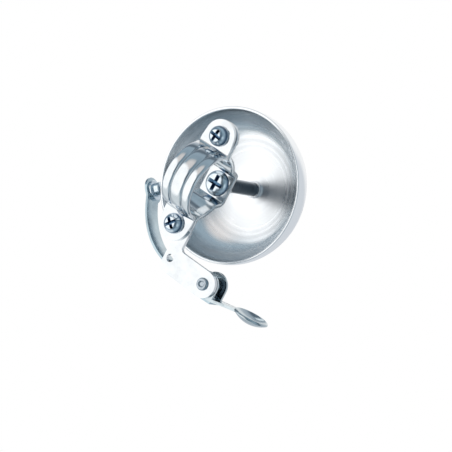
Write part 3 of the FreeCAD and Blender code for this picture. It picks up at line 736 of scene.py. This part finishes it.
def dome_shell():
    """The dome's outside drawn from rim to hole, then spun, given its wall and thinned to the rim."""
    outer, wall, thin = size("dome_diameter") / 2.0, size("dome_wall"), size("skirt_thinning")
    shoulder, crown = size("shoulder_radius"), size("crown_radius")
    hole, thin_up_to, inside_of = 2.1, 9.0, Vector((0, 0, RIM_Z - 6.0))
    side_x, side_z = outer - shoulder, RIM_Z + size("dome_skirt")
    crown_z = side_z - math.sqrt((crown - shoulder) ** 2 - side_x ** 2)
    turn = math.atan2(side_z - crown_z, side_x)
    bm = bmesh.new()
    low = line(bm, bm.verts.new((outer, 0.0, RIM_Z)), [(outer, side_z)])
    tip = arc(bm, low, (side_x, 0, side_z), (0, -1, 0), turn, 20)
    arc(bm, tip, (0, 0, crown_z), (0, -1, 0), math.acos(hole / crown) - turn, 26)
    walled(turned(bm, 160), wall)
    for v in bm.verts:
        inner = v.normal.dot(v.co - inside_of) < 0.0 or v.co.xy.length < outer - wall + 0.1
        if inner:
            out = Vector((v.co.x, v.co.y, max(0.0, v.co.z - side_z) * 0.8)).normalized()
            v.co += out * thin * (1.0 - eased((v.co.z - side_z) / thin_up_to))
    for radius, back in ((outer, 0.22), (outer - wall + thin, 0.48)):
        rounded(bm, ring_edges(bm, radius, RIM_Z, slack=0.05), back, 6)
    return bm


class BELL_OT_dome(Operator):
    """Makes the dome as one spun shell with a rounded rim"""

    bl_idname = "bell.make_dome"
    bl_label = "Dome"

    def execute(self, context):
        seat(dome_shell(), "dome", "dome_metal", "bell_dome")
        return {"FINISHED"}


# Screws, nuts and washers

def cross_tool(across, depth, z):
    """The tapered cross that a driver fits, cut upwards from height z."""
    arm, blade = across / 2.0, across * 0.12
    below, taper = 0.4, 0.4
    outline = [(blade, -arm), (blade, -blade), (arm, -blade), (arm, blade), (blade, blade), (blade, arm)]
    outline += [(-x, -y) for x, y in outline]
    bm, top = plate([(x, y, z - below) for x, y in outline], (0, 0, depth + below))
    bmesh.ops.scale(bm, vec=(taper, taper, 1.0), verts=top)
    return bm


def threads(radius, low, high, pitch, depth):
    """Outline points of a threaded length, from low to high."""
    points = []
    for place in steps_between(low, high, pitch)[:-1]:
        points += [(radius, place + pitch * 0.08), (radius, place + pitch * 0.4),
                   (radius - depth, place + pitch * 0.7)]
    return points


def headed(outline, rim_r, face_z, round_r, cross):
    """A turned screw with a domed head and a cross recess that opens downwards."""
    bm = spun(outline)
    rounded(bm, ring_edges(bm, rim_r, face_z), round_r, 9, profile=0.42)
    return carve(bm, cross_tool(cross, size("recess_depth"), face_z))


def nut(across, bore, low, high, turn=0.0):
    """A hexagon nut with both faces turned back at the corners, and the mouths of its bore opened."""
    flat, corner = across / 2.0, across / math.sqrt(3.0)
    tip, face = corner + 0.05, flat - 0.07
    rise = (tip - flat) * 0.55
    lip, spare = 0.3, 1.0
    mouth = bore + lip + spare
    bm = swung(rod(corner, low, high, steps=6), math.radians(30.0 + turn), "Z")
    trim = spun([(0, low), (face, low), (tip, low + rise), (tip, high - rise), (face, high), (0, high)])
    carve(bm, trim, "INTERSECT")
    hole = spun([(0, low - spare), (mouth, low - spare), (bore, low + lip), (bore, high - lip),
                 (mouth, high + spare), (0, high + spare)])
    return carve(bm, hole)


def washer(outer, inner, low, high, round_r=0.12):
    """A flat ring with rounded edges."""
    return soften(spun([(inner, low), (outer, low), (outer, high), (inner, high)], closed=True), round_r)


def centre_post():
    """The long screw from the saddle's channel to the crown."""
    head, shank, end, tail = 4.5, 2.5, 2.0, 43.6
    ease, tail_ease = 0.3, 0.4
    outline = [(0, HEAD_Z), (head, HEAD_Z), (head, CHANNEL_Z), (shank, CHANNEL_Z),
               (shank, SHOULDER_Z - ease), (shank - ease, SHOULDER_Z), (end, SHOULDER_Z),
               (end, tail - tail_ease), (end - tail_ease, tail), (0, tail)]
    return headed(outline, head, HEAD_Z, round_r=1.7, cross=7.0)


def clamp_screw():
    """A clamp screw whose threaded end stands out of its nut."""
    head, shank = 3.5, 2.0
    face, tail = -4.0, 8.0
    outline = [(0, face), (head, face), (head, WASHER_LOW), (shank, WASHER_LOW)]
    outline += threads(shank, 2.6, tail - 0.5, pitch=0.7, depth=0.28)
    outline += [(shank - 0.25, tail - 0.4), (shank - 0.6, tail), (0, tail)]
    return headed(outline, head, face, round_r=2.0, cross=5.5)


def crown_nut():
    """The domed cap nut on the crown."""
    high = CROWN_NUT_Z + 3.0
    cap_r, cap_h, sunk = 3.22, 2.6, 0.6
    ball = ball_radius(cap_r, cap_h)
    centre = high + cap_h - ball
    cap = bmesh.new()
    side = arc(cap, cap.verts.new((0, 0, centre + ball)), (0, 0, centre), (0, 1, 0),
               math.acos((high - centre) / ball), 12)
    line(cap, side, [(side.co.x, high - sunk), (0, high - sunk)])
    return carve(nut(7.0, 1.0, CROWN_NUT_Z, high), turned(cap, 72), "UNION")


class BELL_OT_post(Operator):
    """Makes the centre screw with its nuts and washers"""

    bl_idname = "bell.make_post"
    bl_label = "Centre post"

    def execute(self, context):
        end_hole = 2.05
        seat(centre_post(), "post", "bright_screw", "centre_post", finish=post_steel)
        seat(nut(8.0, 2.52, SADDLE_TOP, SADDLE_TOP + 2.5, turn=12.0),
             "nut_on_saddle", "plated_nut", "post_nut")
        seat(washer(3.0, end_hole, SHOULDER_Z, SHOULDER_Z + 1.1),
             "washer_under_dome", "plated_nut", "dome_washer")
        seat(washer(4.0, end_hole, CROWN_Z, CROWN_NUT_Z),
             "washer_on_crown", "plated_nut", "crown_washer")
        seat(crown_nut(), "cap_nut", "plated_nut", "crown_nut")
        return {"FINISHED"}


class BELL_OT_clamp_screws(Operator):
    """Makes both clamp screws with their washers and nuts"""

    bl_idname = "bell.make_clamp_screws"
    bl_label = "Clamp screws"

    def execute(self, context):
        for y, end, turn in ((SCREW_Y, "rear", 8.0), (-SCREW_Y, "front", 41.0)):
            screw = swung(clamp_screw(), math.radians(turn), "Z")
            ring = washer(3.6, SCREW_HOLE_R, WASHER_LOW, LUG_LOW)
            hexagon = nut(7.0, 2.02, SADDLE_HIGH, SADDLE_HIGH + 3.2, turn=turn)
            seat(shifted(screw, 0, y), "screw_%s" % end, "bright_screw", "clamp_screw_%s" % end)
            seat(shifted(ring, 0, y), "washer_%s" % end, "plated_nut", "clamp_washer_%s" % end)
            seat(shifted(hexagon, 0, y), "nut_%s" % end, "plated_nut", "clamp_nut_%s" % end)
        return {"FINISHED"}


# Handlebar clamp

def folded_over(bm, fold, thick_way):
    """Folds a blank along a line on both sides of its middle.

    The blank lies with x across, y along and z through its thickness.
    """
    for v in bm.verts:
        side = -1.0 if v.co.y < 0 else 1.0
        place, heading = fold.at(abs(v.co.y))
        spot = place + Vector((-heading.y, heading.x)) * thick_way * v.co.z
        v.co = Vector((v.co.x, side * spot.x, spot.y))
    return outward(bm)


def strap_fold():
    """Outside line of the strap, from under the handlebar out along a lug."""
    outer, bend_r, end_y = 12.3, 1.0, 24.0
    tip = math.radians(8.65)
    half = (QUARTER_TURN - tip) / 2.0
    far, middle = outer / math.cos(half), -tip - half
    bend = (outer + LUG_LOW * math.sin(tip)) / math.cos(tip)
    corners = [(0, -outer), (far * math.cos(middle), far * math.sin(middle)),
               (bend, LUG_LOW), (end_y, LUG_LOW)]
    return Fold(corners, [0, outer, bend_r, 0])


def strap():
    """The lower half of the clamp: a strap with three raised bands between its lugs."""
    fold = strap_fold()
    half_width, half_band, thick, lug_r = 6.3, 2.6, 1.2, 5.9
    flat_end, cut_step, cuts_in_band = 10.4, 0.45, 12
    fade_from, fade_to = 18.2, 15.4
    along = fold.reach(Vector((1, 0)), SCREW_Y)
    square = along - 2.6
    blank = stretched([(0, along, lug_r), (0, -along, lug_r)],
                      [(x, y) for x in (-half_width, half_width) for y in (-square, square)], 0.0, thick)
    for y in (along, -along):
        carve(blank, rod(SCREW_HOLE_R, -1, 3, 0, y))
    places = steps_between(0.0, fold.length - flat_end, cut_step)
    sliced(blank, 1, [-p for p in places[1:]] + places)
    edges = (-half_width, -half_band, half_band, half_width)
    bands = [((a + b) / 2.0, (b - a) / 2.0) for a, b in zip(edges, edges[1:])]
    half_cuts = cuts_in_band // 2
    cuts = [middle + half * math.sin(math.pi / cuts_in_band * i)
            for middle, half in bands for i in range(-half_cuts, half_cuts)]
    sliced(blank, 0, cuts[1:])
    for v in blank.verts:
        if v.co.z > thick / 2.0:
            continue
        fade = eased((fade_from - abs(v.co.y)) / (fade_from - fade_to))
        for middle, half in bands:
            off = (v.co.x - middle) / half
            if abs(v.co.x - middle) <= half + 1e-3:
                v.co.z = size("band_depth") * (0.35 * off ** 2 + 0.65 * off ** 8) * fade
                break
    folded_over(blank, fold, 1.0)
    return soften(blank, size("edge_round") * 1.3, angle=58.0)


def saddle_fold():
    """Upper line of the saddle: over the channel, down its wall, round the bar and out along a lug."""
    outer, end_y = 12.6, 24.0
    top_r, foot_r, bend_r = 2.1, 1.1, 1.0
    high, low = math.radians(51.5), math.radians(17.99)
    middle, half = (high + low) / 2.0, (high - low) / 2.0
    far = outer / math.cos(half)
    bend = (outer - SADDLE_HIGH * math.sin(low)) / math.cos(low)
    corners = [(0, SADDLE_TOP), (6.025, SADDLE_TOP), (7.529, 10.111),
               (far * math.cos(middle), far * math.sin(middle)),
               (bend, SADDLE_HIGH), (end_y, SADDLE_HIGH)]
    return Fold(corners, [0, top_r, foot_r, outer, bend_r, 0])


def saddle():
    """The upper half of the clamp, with the channel that holds the post's head."""
    fold = saddle_fold()
    half_width, thick, post_hole_r = 5.5, 1.5, 2.7
    along = fold.reach(Vector((1, 0)), SCREW_Y)
    blank = stretched([(0, along, half_width), (0, -along, half_width)], [], 0.0, thick)
    for y, r in ((along, SCREW_HOLE_R), (-along, SCREW_HOLE_R), (0, post_hole_r)):
        carve(blank, rod(r, -1, 3, 0, y))
    places = steps_between(3.2, along - 2.9, 0.42)
    sliced(blank, 1, [-p for p in places] + places)
    folded_over(blank, fold, -1.0)
    return soften(blank, size("edge_round") * 1.4, angle=52.0)


class BELL_OT_clamp(Operator):
    """Makes the strap and the saddle that close round the handlebar"""

    bl_idname = "bell.make_clamp"
    bl_label = "Handlebar clamp"

    def execute(self, context):
        seat(strap(), "strap", "plated_sheet", "clamp_strap")
        seat(saddle(), "saddle", "plated_sheet", "clamp_saddle")
        return {"FINISHED"}


# Lever bracket and pivot

def bracket():
    """The flat plate between the clamp's lugs that carries the lever."""
    low, high = PLATE_Z, PLATE_Z + PLATE_T
    eye_r, leg_hole = 5.5, (-4.1, -28.2, 1.4)
    points = [(-1.5, -17.0), (-1.5, -33.3), (-20.0, -34.3), (-20.0, -24.7), (-6.5, -24.2), (-6.5, -17.0)]
    bm, _ = plate([(x, y, low) for x, y in points], (0, 0, PLATE_T))
    for corner, set_back in ((points[1], 2.1), (points[4], 1.55)):
        edges = [e for e in bm.edges if all((v.co.xy - Vector(corner)).length < 1e-3 for v in e.verts)]
        rounded(bm, edges, set_back, 10)
    carve(bm, rod(eye_r, low, high, 0.0, -SCREW_Y, steps=96), "UNION")
    carve(bm, rod(PIVOT_R, low, high, PIVOT.x, PIVOT.y, steps=96), "UNION")
    for x, y, r in ((0.0, -SCREW_Y, SCREW_HOLE_R), (PIVOT.x, PIVOT.y, RIVET_HOLE_R), leg_hole):
        carve(bm, rod(r, low - 1, high + 1, x, y))
    return soften(flattened(bm), size("edge_round") * 2.0, segments=4)


def pivot_rivet():
    """The pivot's rivet, upset and dished at both ends."""
    r, big, head, dish = 1.1, 2.25, 0.9, 0.45
    low, high, floor_r = PLATE_Z - head, 10.85, r * 0.75
    bm = spun([(0, low + dish), (floor_r, low + dish), (r, low), (big, low), (big, PLATE_Z),
               (r, PLATE_Z), (r, high - head), (big, high - head), (big, high), (r, high),
               (floor_r, high - dish), (0, high - dish)])
    for radius, back in ((big, 0.72), (r, 0.34)):
        rounded(bm, ring_edges(bm, radius, low, high), back, 5)
    return shifted(bm, PIVOT.x, PIVOT.y)


class BELL_OT_bracket(Operator):
    """Makes the lever's bracket"""

    bl_idname = "bell.make_bracket"
    bl_label = "Lever bracket"

    def execute(self, context):
        seat(bracket(), "bracket", "plated_sheet", "lever_bracket")
        return {"FINISHED"}


class BELL_OT_pivot(Operator):
    """Makes the pivot's rivet, bush and washers"""

    bl_idname = "bell.make_pivot"
    bl_label = "Lever pivot"

    def execute(self, context):
        low, high, fine = PLATE_Z + PLATE_T, 9.35, 0.06
        bush = washer(1.7, RIVET_HOLE_R, low, high, fine)
        shim = washer(3.5, 1.74, low, low + 0.25, fine)
        ring = washer(2.8, RIVET_HOLE_R, high, high + 0.6)
        seat(pivot_rivet(), "rivet", "rivet_steel", "pivot_rivet")
        seat(shifted(bush, PIVOT.x, PIVOT.y), "bush", "rivet_steel", "pivot_bush")
        seat(shifted(shim, PIVOT.x, PIVOT.y), "shim", "rivet_steel", "pivot_shim")
        seat(shifted(ring, PIVOT.x, PIVOT.y), "washer_on_lever", "plated_nut", "pivot_washer")
        return {"FINISHED"}


# Spring

def drawn(bm, edges, way):
    """Draws a wire on straight from its end, and gives its new end."""
    made = bmesh.ops.extrude_edge_only(bm, edges=edges)["geom"]
    ends = corners_in(made)
    bmesh.ops.translate(bm, vec=way, verts=ends)
    return [e for e in edges_in(made) if all(v in ends for v in e.verts)]


def lever_spring():
    """The coil round the bush, wound in one sweep, with its two legs drawn out of its ends."""
    wire = size("wire_diameter") / 2.0
    mean, pitch, turns, low, steps = 2.45, 1.25, 3.0, 3.775, 150
    web_leg, bend_r, through = 3.6, 1.1, 0.4
    foot = Vector((-4.1, -29.23, 0.0))
    gap = foot - PIVOT
    enter = math.atan2(gap.y, gap.x) - math.acos(mean / gap.length)
    leave = math.radians(-90.0 + 8.04)
    bm = bmesh.new()
    place = (Matrix.Translation(PIVOT) @ Matrix.Rotation(enter, 4, "Z")
             @ Matrix.Translation((mean, 0, low)) @ Matrix.Rotation(QUARTER_TURN, 4, "X"))
    ring = bmesh.ops.create_circle(bm, cap_ends=False, radius=wire, segments=14, matrix=place)
    first = ring["verts"]
    first_edges = bm.edges[:]
    made = bmesh.ops.spin(bm, geom=first + first_edges, cent=PIVOT, axis=(0, 0, -1),
                          dvec=(0, 0, pitch * turns / steps), angle=FULL_TURN * turns + enter - leave,
                          steps=steps)
    drawn(bm, edges_in(made["geom_last"]), Vector((math.sin(leave), -math.cos(leave), 0.0)) * web_leg)
    heading = Vector((math.sin(enter), -math.cos(enter), 0.0))
    start = PIVOT + Vector((mean * math.cos(enter), mean * math.sin(enter), 0.0))
    run = (foot - start).length - bend_r
    end = drawn(bm, first_edges, -heading * run)
    corners = [v for v in bm.verts if any(v in e.verts for e in end)]
    middle = start - heading * run + Vector((0, 0, low - bend_r))
    bent = bmesh.ops.spin(bm, geom=corners + end, cent=middle, axis=heading.cross(Vector((0, 0, 1))),
                          dvec=(0, 0, 0), angle=QUARTER_TURN, steps=8)
    drawn(bm, edges_in(bent["geom_last"]), Vector((0, 0, -(low - bend_r + through))))
    bmesh.ops.remove_doubles(bm, verts=bm.verts[:], dist=1e-3)
    bmesh.ops.holes_fill(bm, edges=bm.edges[:], sides=0)
    return outward(bm)


class BELL_OT_spring(Operator):
    """Makes the torsion spring on the pivot"""

    bl_idname = "bell.make_spring"
    bl_label = "Lever spring"

    def execute(self, context):
        seat(lever_spring(), "spring", "spring_wire", "torsion_spring", twisted=("lever", 4.1, 7.15))
        return {"FINISHED"}


# Thumb lever

def folded_along(bm, fold, along):
    """Folds an upright blank in plan.

    The blank has x along a direction in plan, y through the thickness and z up.
    """
    for v in bm.verts:
        place, heading = fold.at(fold.reach(along, v.co.x))
        spot = place + Vector((-heading.y, heading.x)) * v.co.y
        v.co = Vector((spot.x, spot.y, v.co.z))
    return outward(bm)


def upright(points, radii, thick):
    """An upright plate from x, z corners, half its thickness to both sides."""
    bm, _ = plate([(x, -thick / 2.0, z) for x, z in points], (0, thick, 0))
    for (x, z), back in zip(points, radii):
        if back:
            edges = [e for e in bm.edges
                     if all(abs(v.co.x - x) < 1e-3 and abs(v.co.z - z) < 1e-3 for v in e.verts)]
            rounded(bm, edges, back, 9)
    return bm


def cheek(low, high):
    """One cheek of the channel, round over the pivot."""
    left, right = -24.8, -15.1
    bm = stretched([(PIVOT.x, PIVOT.y, PIVOT_R)],
                   [(left, WEB_Y), (right, WEB_Y), (right, PIVOT.y)], low, high)
    return carve(bm, block((-26, -36, low - 1), (-14, WEB_Y + 0.02, high + 1)))


def thumb_pad():
    """The dished pad, pressed to a shallow cap that bulges outwards."""
    radius, depth, x, back_y = 6.5, 2.3, -39.5, -31.14
    ball = ball_radius(radius, depth)
    bm = bmesh.new()
    arc(bm, bm.verts.new((0, 0, ball)), (0, 0, 0), (0, 1, 0), math.asin(radius / ball), 12)
    soften(walled(turned(bm, 84), LEVER_T), 0.3, segments=4)
    return shifted(swung(bm, QUARTER_TURN), x, back_y - depth + ball, LEVER_MID)


def thumb_lever():
    """The folded channel, its thumb strip and the pad, joined as one pressing."""
    y = WEB_Y + LEVER_T / 2.0
    right, bend, neck, tip = 15.1, 25.3, 30.3, 33.9
    low, high = LEVER_MID - 2.5, LEVER_MID + 2.5
    fold = Fold([(-right, y), (-24.2, y), (-tip, -31.59)], [0, 4.0, 0])
    points = [(right, LEVER_LOW), (bend, LEVER_LOW), (neck, low), (tip, low),
              (tip, high), (neck, high), (bend, LEVER_HIGH), (right, LEVER_HIGH)]
    blank = upright(points, [0, 0.5, 0.8, 0, 0, 0.8, 0.5, 0], LEVER_T)
    for place in ARM_RIVETS:
        carve(blank, cross_rod(ARM_HOLE_R, 2, -(PIVOT.x + place), 0, LEVER_MID))
    sliced(blank, 0, steps_between(22.6, 26.0, 0.3) + steps_between(26.8, 33.5, 1.2))
    folded_along(blank, fold, Vector((-1, 0)))
    for low, high in ((LEVER_LOW, LEVER_LOW + LEVER_T), (LEVER_HIGH - LEVER_T, LEVER_HIGH)):
        side = carve(cheek(low, high), rod(1.76, low - 1, high + 1, PIVOT.x, PIVOT.y))
        carve(blank, side, "UNION")
    soften(flattened(blank), size("edge_round") * 1.3)
    return carve(blank, thumb_pad(), "UNION")


class BELL_OT_lever(Operator):
    """Makes the thumb lever"""

    bl_idname = "bell.make_lever"
    bl_label = "Thumb lever"

    def execute(self, context):
        seat(thumb_lever(), "lever", "plated_sheet", "thumb_lever", smooth=38.0, finish=plated_lever)
        return {"FINISHED"}


# Hammer on its strip

def hammer_arm():
    """The strip from the web to the paddle, cut flat and then folded round the dome."""
    paddle_r, half, bend_r, corner_r = 4.7, 3.3, 6.0, 4.0
    heading = math.radians(9.0)
    leave = Vector((math.cos(heading), math.sin(heading)))
    start, bend = Vector((-24.6, -34.2)), Vector((-14.5, -34.2))
    gap = HAMMER.xy - bend
    knee = bend + leave * ((gap.x * ALONG.y - gap.y * ALONG.x) / (leave.x * ALONG.y - leave.y * ALONG.x))
    end = HAMMER.xy + ALONG * paddle_r
    sweep_r = ((end - knee).length - 2 * paddle_r) / math.tan((HAMMER_WAY - heading) / 2.0)
    fold = Fold([start, bend, knee, end], [0, bend_r, sweep_r, 0])
    base = HAMMER.xy.dot(ALONG)
    u0, u1 = start.dot(ALONG) - base, bend.dot(ALONG) - base + 2.0
    rise = math.atan2(HAMMER.z - LEVER_MID, -u1)
    side, shift = half / math.cos(rise), half * math.tan(rise / 2.0)
    points = [(u0, LEVER_MID - half), (u1 + shift, LEVER_MID - half), (0, HAMMER.z - side),
              (0, HAMMER.z + side), (u1 - shift, LEVER_MID + half), (u0, LEVER_MID + half)]
    blank = upright(points, [0, corner_r, 0, 0, corner_r, 0], ARM_T)
    carve(blank, cross_rod(paddle_r, ARM_T / 2.0, 0, 0, HAMMER.z, steps=96), "UNION")
    carve(blank, cross_rod(RIVET_HOLE_R, 2, 0, 0, HAMMER.z, steps=72))
    shifted(blank, base, 0)
    sliced(blank, 0, [base + u for u in steps_between(u0 + 5.5, -5.0, 0.55)])
    folded_along(blank, fold, ALONG)
    for place in ARM_RIVETS:
        carve(blank, cross_rod(ARM_HOLE_R, 3, PIVOT.x + place, WEB_Y, LEVER_MID))
    return soften(blank, size("edge_round"), angle=52.0)


def arm_rivets():
    """Two small rivets through the strip and the web."""
    low, high = WEB_Y - ARM_T, WEB_Y + LEVER_T
    r, big, head = 0.8, 1.2, 0.45
    pair = bmesh.new()
    for place in ARM_RIVETS:
        bm = spun([(0, low - head), (big, low - head), (big, low), (r, low), (r, high), (big, high),
                   (big, high + head), (0, high + head)], steps=40)
        rounded(bm, ring_edges(bm, big, low - head, high + head), 0.34, 4)
        shifted(swung(bm, -QUARTER_TURN), PIVOT.x + place, 0, LEVER_MID)
        mesh = bpy.data.meshes.new("bench")
        bm.to_mesh(mesh)
        bm.free()
        pair.from_mesh(mesh)
        bpy.data.meshes.remove(mesh)
    return pair


def hammer():
    """The striker, turned from one piece and riveted through the paddle."""
    near, reach, ball = ARM_T / 2.0, 4.1, 6.0
    flange, boss, tail, neck = 3.6, 2.5, 1.5, 1.1
    flange_z, tail_z = near + 1.0, -near - 0.9
    bm = bmesh.new()
    side = arc(bm, bm.verts.new((0, 0, reach)), (0, 0, reach - ball), (0, 1, 0),
               math.asin(boss / ball), 8)
    face_z = side.co.z
    line(bm, side, [(boss, flange_z), (flange, flange_z), (flange, near), (neck, near), (neck, -near),
                    (tail, -near), (tail, tail_z), (0, tail_z)])
    turned(bm, 72)
    for radius, z, back, segments in ((flange, flange_z, 0.3, 4), (tail, tail_z, 0.4, 4),
                                      (boss, face_z, 0.25, 3)):
        rounded(bm, ring_edges(bm, radius, z), back, segments)
    inward = Vector((-math.sin(HAMMER_WAY), math.cos(HAMMER_WAY), 0.0))
    turn = inward.to_track_quat("Z", "Y").to_matrix()
    bmesh.ops.rotate(bm, cent=(0, 0, 0), matrix=turn, verts=bm.verts[:])
    return shifted(bm, *HAMMER)


class BELL_OT_hammer(Operator):
    """Makes the hammer, its strip and the rivets between strip and lever"""

    bl_idname = "bell.make_hammer"
    bl_label = "Hammer"

    def execute(self, context):
        seat(hammer_arm(), "hammer_strip", "spring_strip", "hammer_arm")
        seat(arm_rivets(), "strip_rivets", "rivet_steel", "arm_rivets")
        seat(hammer(), "striker", "hammer_steel", "hammer")
        return {"FINISHED"}


# Stage, in metres

BACK = Vector((-0.4647, 0.1847, -0.8660))
RIGHT = Vector((-0.7406, 0.4552, 0.4944))
UP = Vector((0.4855, 0.8711, -0.0748))
TARGET = Vector((-0.006107, -0.012748, 0.02156))
AWAY = 1.3             # from the bell to the camera and to each lamp
LENS_SHARE = 0.2303    # the lens, as a share of the camera's distance
TENT_RADIUS = 1.6
FLOOR_HALF = 4.0
FLOOR_Z = -1.7
WINDOW_WAY = (0.591, -0.314, -0.743)
FILL_WAY = (-0.3, 0.3, 0.9)
TENT_WALLS = (         # from the foot of the tent (0) to its top (1)
    (0.15, (0.23, 0.31, 0.37)),
    (0.30, (0.30, 0.40, 0.47)),
    (0.50, (0.36, 0.46, 0.54)),
    (0.56, (0.13, 0.17, 0.21)),
    (0.62, (0.15, 0.19, 0.23)),
    (0.71, (0.50, 0.56, 0.62)),
    (0.92, (0.70, 0.73, 0.77)),
)
TENT_PATCHES = (       # direction, angles at which a patch starts and is full, colour
    ((0.35, 0.35, 0.87), 34.0, 16.0, (1.0, 1.0, 1.0)),
    ((0.37, 0.59, -0.72), 24.0, 8.0, (0.80, 0.76, 0.74)),
    ((-0.83, 0.07, -0.55), 22.0, 7.0, (0.58, 0.68, 0.74)),
    ((0.22, -0.96, -0.15), 42.0, 22.0, (0.80, 0.86, 0.89)),
    (WINDOW_WAY, 50.0, 39.0, (1.32, 1.32, 1.32)),
    ((-0.30, -0.03, -0.95), 24.0, 5.0, (0.10, 0.14, 0.17)),
)


def floor_finish():
    """Pale floor that keeps its light, and is white in the view."""
    b = Bench(bpy.data.materials.new("pale_floor"))
    matt = b.add("ShaderNodeBsdfDiffuse", {"Color": (*colour("floor"), 1.0)})
    glow = b.add("ShaderNodeEmission", {"Strength": 1.0})
    return b.seen(matt.outputs["BSDF"], glow.outputs["Emission"], "ShaderNodeOutputMaterial")


def world_light():
    """Plain soft light, white in the view."""
    b = Bench(bpy.data.worlds.new("studio"))
    soft = b.add("ShaderNodeBackground", {"Color": (0.97, 0.98, 1.0, 1.0), "Strength": 0.7})
    white = b.add("ShaderNodeBackground", {"Color": (1.0, 1.0, 1.0, 1.0)})
    return b.seen(soft.outputs["Background"], white.outputs["Background"], "ShaderNodeOutputWorld")


def tent_finish():
    """Cloth of the light tent: blue-grey walls with patches, a large white window and a dark one."""
    b = Bench(bpy.data.materials.new("tent_cloth"))
    place = b.add("ShaderNodeTexCoord").outputs["Object"]
    way = b.add("ShaderNodeVectorMath", {0: place}, operation="NORMALIZE").outputs["Vector"]
    height = b.add("ShaderNodeSeparateXYZ", {"Vector": way}).outputs["Z"]
    rise = b.add("ShaderNodeMapRange", {"Value": height, "From Min": -1.0}).outputs["Result"]
    walls = b.add("ShaderNodeValToRGB", {"Fac": rise})
    stops = walls.color_ramp.elements
    while len(stops) < len(TENT_WALLS):
        stops.new(0.5)
    for stop, (level, shade) in zip(stops, TENT_WALLS):
        stop.position = level
        stop.color = (*shade, 1.0)
    shown = walls.outputs["Color"]
    for direction, wide, narrow, shade in TENT_PATCHES:
        inside = b.add("ShaderNodeVectorMath", {0: way, 1: Vector(direction).normalized()},
                       operation="DOT_PRODUCT")
        share = b.add("ShaderNodeMapRange", {"Value": inside.outputs["Value"],
                                             "From Min": math.cos(math.radians(wide)),
                                             "From Max": math.cos(math.radians(narrow))},
                      interpolation_type="SMOOTHSTEP")
        shown = b.mixed(share.outputs["Result"], shown, shade)
    glow = b.add("ShaderNodeEmission", {"Color": shown})
    b.add("ShaderNodeOutputMaterial", {"Surface": glow.outputs["Emission"]})
    return b.holder


def light_tent():
    """A round tent that only the metal sees."""
    bm = bmesh.new()
    bmesh.ops.create_icosphere(bm, subdivisions=5, radius=TENT_RADIUS)
    bmesh.ops.reverse_faces(bm, faces=bm.faces[:])
    tent = placed(bm, "light_tent", tent_finish())
    tent.data.shade_smooth()
    tent.visible_camera = False
    tent.visible_shadow = False
    tent.visible_diffuse = False


def pale_floor():
    """The floor under the tent."""
    bm = bmesh.new()
    bmesh.ops.create_grid(bm, x_segments=1, y_segments=1, size=FLOOR_HALF,
                          matrix=Matrix.Translation((0, 0, FLOOR_Z)))
    placed(bm, "floor", floor_finish())


def lamp(name, direction, width, power):
    """A square lamp that faces the bell and isn't mirrored in it."""
    data = bpy.data.lights.new(name, "AREA")
    data.size = width
    data.energy = power
    light = bpy.data.objects.new(name, data)
    bpy.context.scene.collection.objects.link(light)
    way = Vector(direction).normalized()
    turn = way.to_track_quat("Z", "Y").to_matrix().to_4x4()
    light.matrix_world = Matrix.Translation(TARGET + way * AWAY) @ turn
    light.visible_glossy = False


def camera():
    """The camera, from below the open dome."""
    data = bpy.data.cameras.new("camera")
    data.lens = LENS_SHARE * AWAY / MM
    data.sensor_width = 36.0
    data.clip_end = 50.0
    view = bpy.data.objects.new("camera", data)
    bpy.context.scene.collection.objects.link(view)
    turn = Matrix((RIGHT, UP, BACK)).transposed().to_4x4()
    view.matrix_world = Matrix.Translation(TARGET + BACK * AWAY) @ turn
    bpy.context.scene.camera = view


class BELL_OT_stage(Operator):
    """Makes the floor, the lamps, the light tent and the camera"""

    bl_idname = "bell.make_stage"
    bl_label = "Stage"

    def execute(self, context):
        context.scene.view_settings.view_transform = "Standard"
        context.scene.world = world_light()
        pale_floor()
        lamp("key_lamp", WINDOW_WAY, 1.5, 7.0)
        lamp("fill_lamp", FILL_WAY, 1.2, 3.4)
        light_tent()
        camera()
        return {"FINISHED"}


class BELL_PT_panel(Panel):
    """Lists the bell's sizes, colours and pieces"""

    bl_idname = "BELL_PT_panel"
    bl_label = "Handlebar bell"
    bl_space_type = "VIEW_3D"
    bl_region_type = "UI"
    bl_category = "Bell"

    def draw(self, context):
        layout = self.layout
        for name in BellSizes.__annotations__:
            layout.prop(context.scene.bell_sizes, name)
        for name in BellColours.__annotations__:
            layout.prop(context.scene.bell_colours, name)
        for operator in MAKERS:
            layout.operator(operator.bl_idname)


MAKERS = (
    BELL_OT_stage,
    BELL_OT_dome,
    BELL_OT_post,
    BELL_OT_clamp,
    BELL_OT_clamp_screws,
    BELL_OT_bracket,
    BELL_OT_pivot,
    BELL_OT_spring,
    BELL_OT_lever,
    BELL_OT_hammer,
)
CLASSES = (BellSizes, BellColours, *MAKERS, BELL_PT_panel)


def register():
    for item in CLASSES:
        bpy.utils.register_class(item)
    bpy.types.Scene.bell_sizes = PointerProperty(type=BellSizes)
    bpy.types.Scene.bell_colours = PointerProperty(type=BellColours)


def unregister():
    del bpy.types.Scene.bell_colours
    del bpy.types.Scene.bell_sizes
    for item in reversed(CLASSES):
        bpy.utils.unregister_class(item)


def main():
    register()
    bpy.ops.bell.make_stage()
    bpy.ops.bell.make_dome()
    bpy.ops.bell.make_post()
    bpy.ops.bell.make_clamp()
    bpy.ops.bell.make_clamp_screws()
    bpy.ops.bell.make_bracket()
    bpy.ops.bell.make_pivot()
    bpy.ops.bell.make_spring()
    bpy.ops.bell.make_lever()
    bpy.ops.bell.make_hammer()


if __name__ == "__main__":
    main()
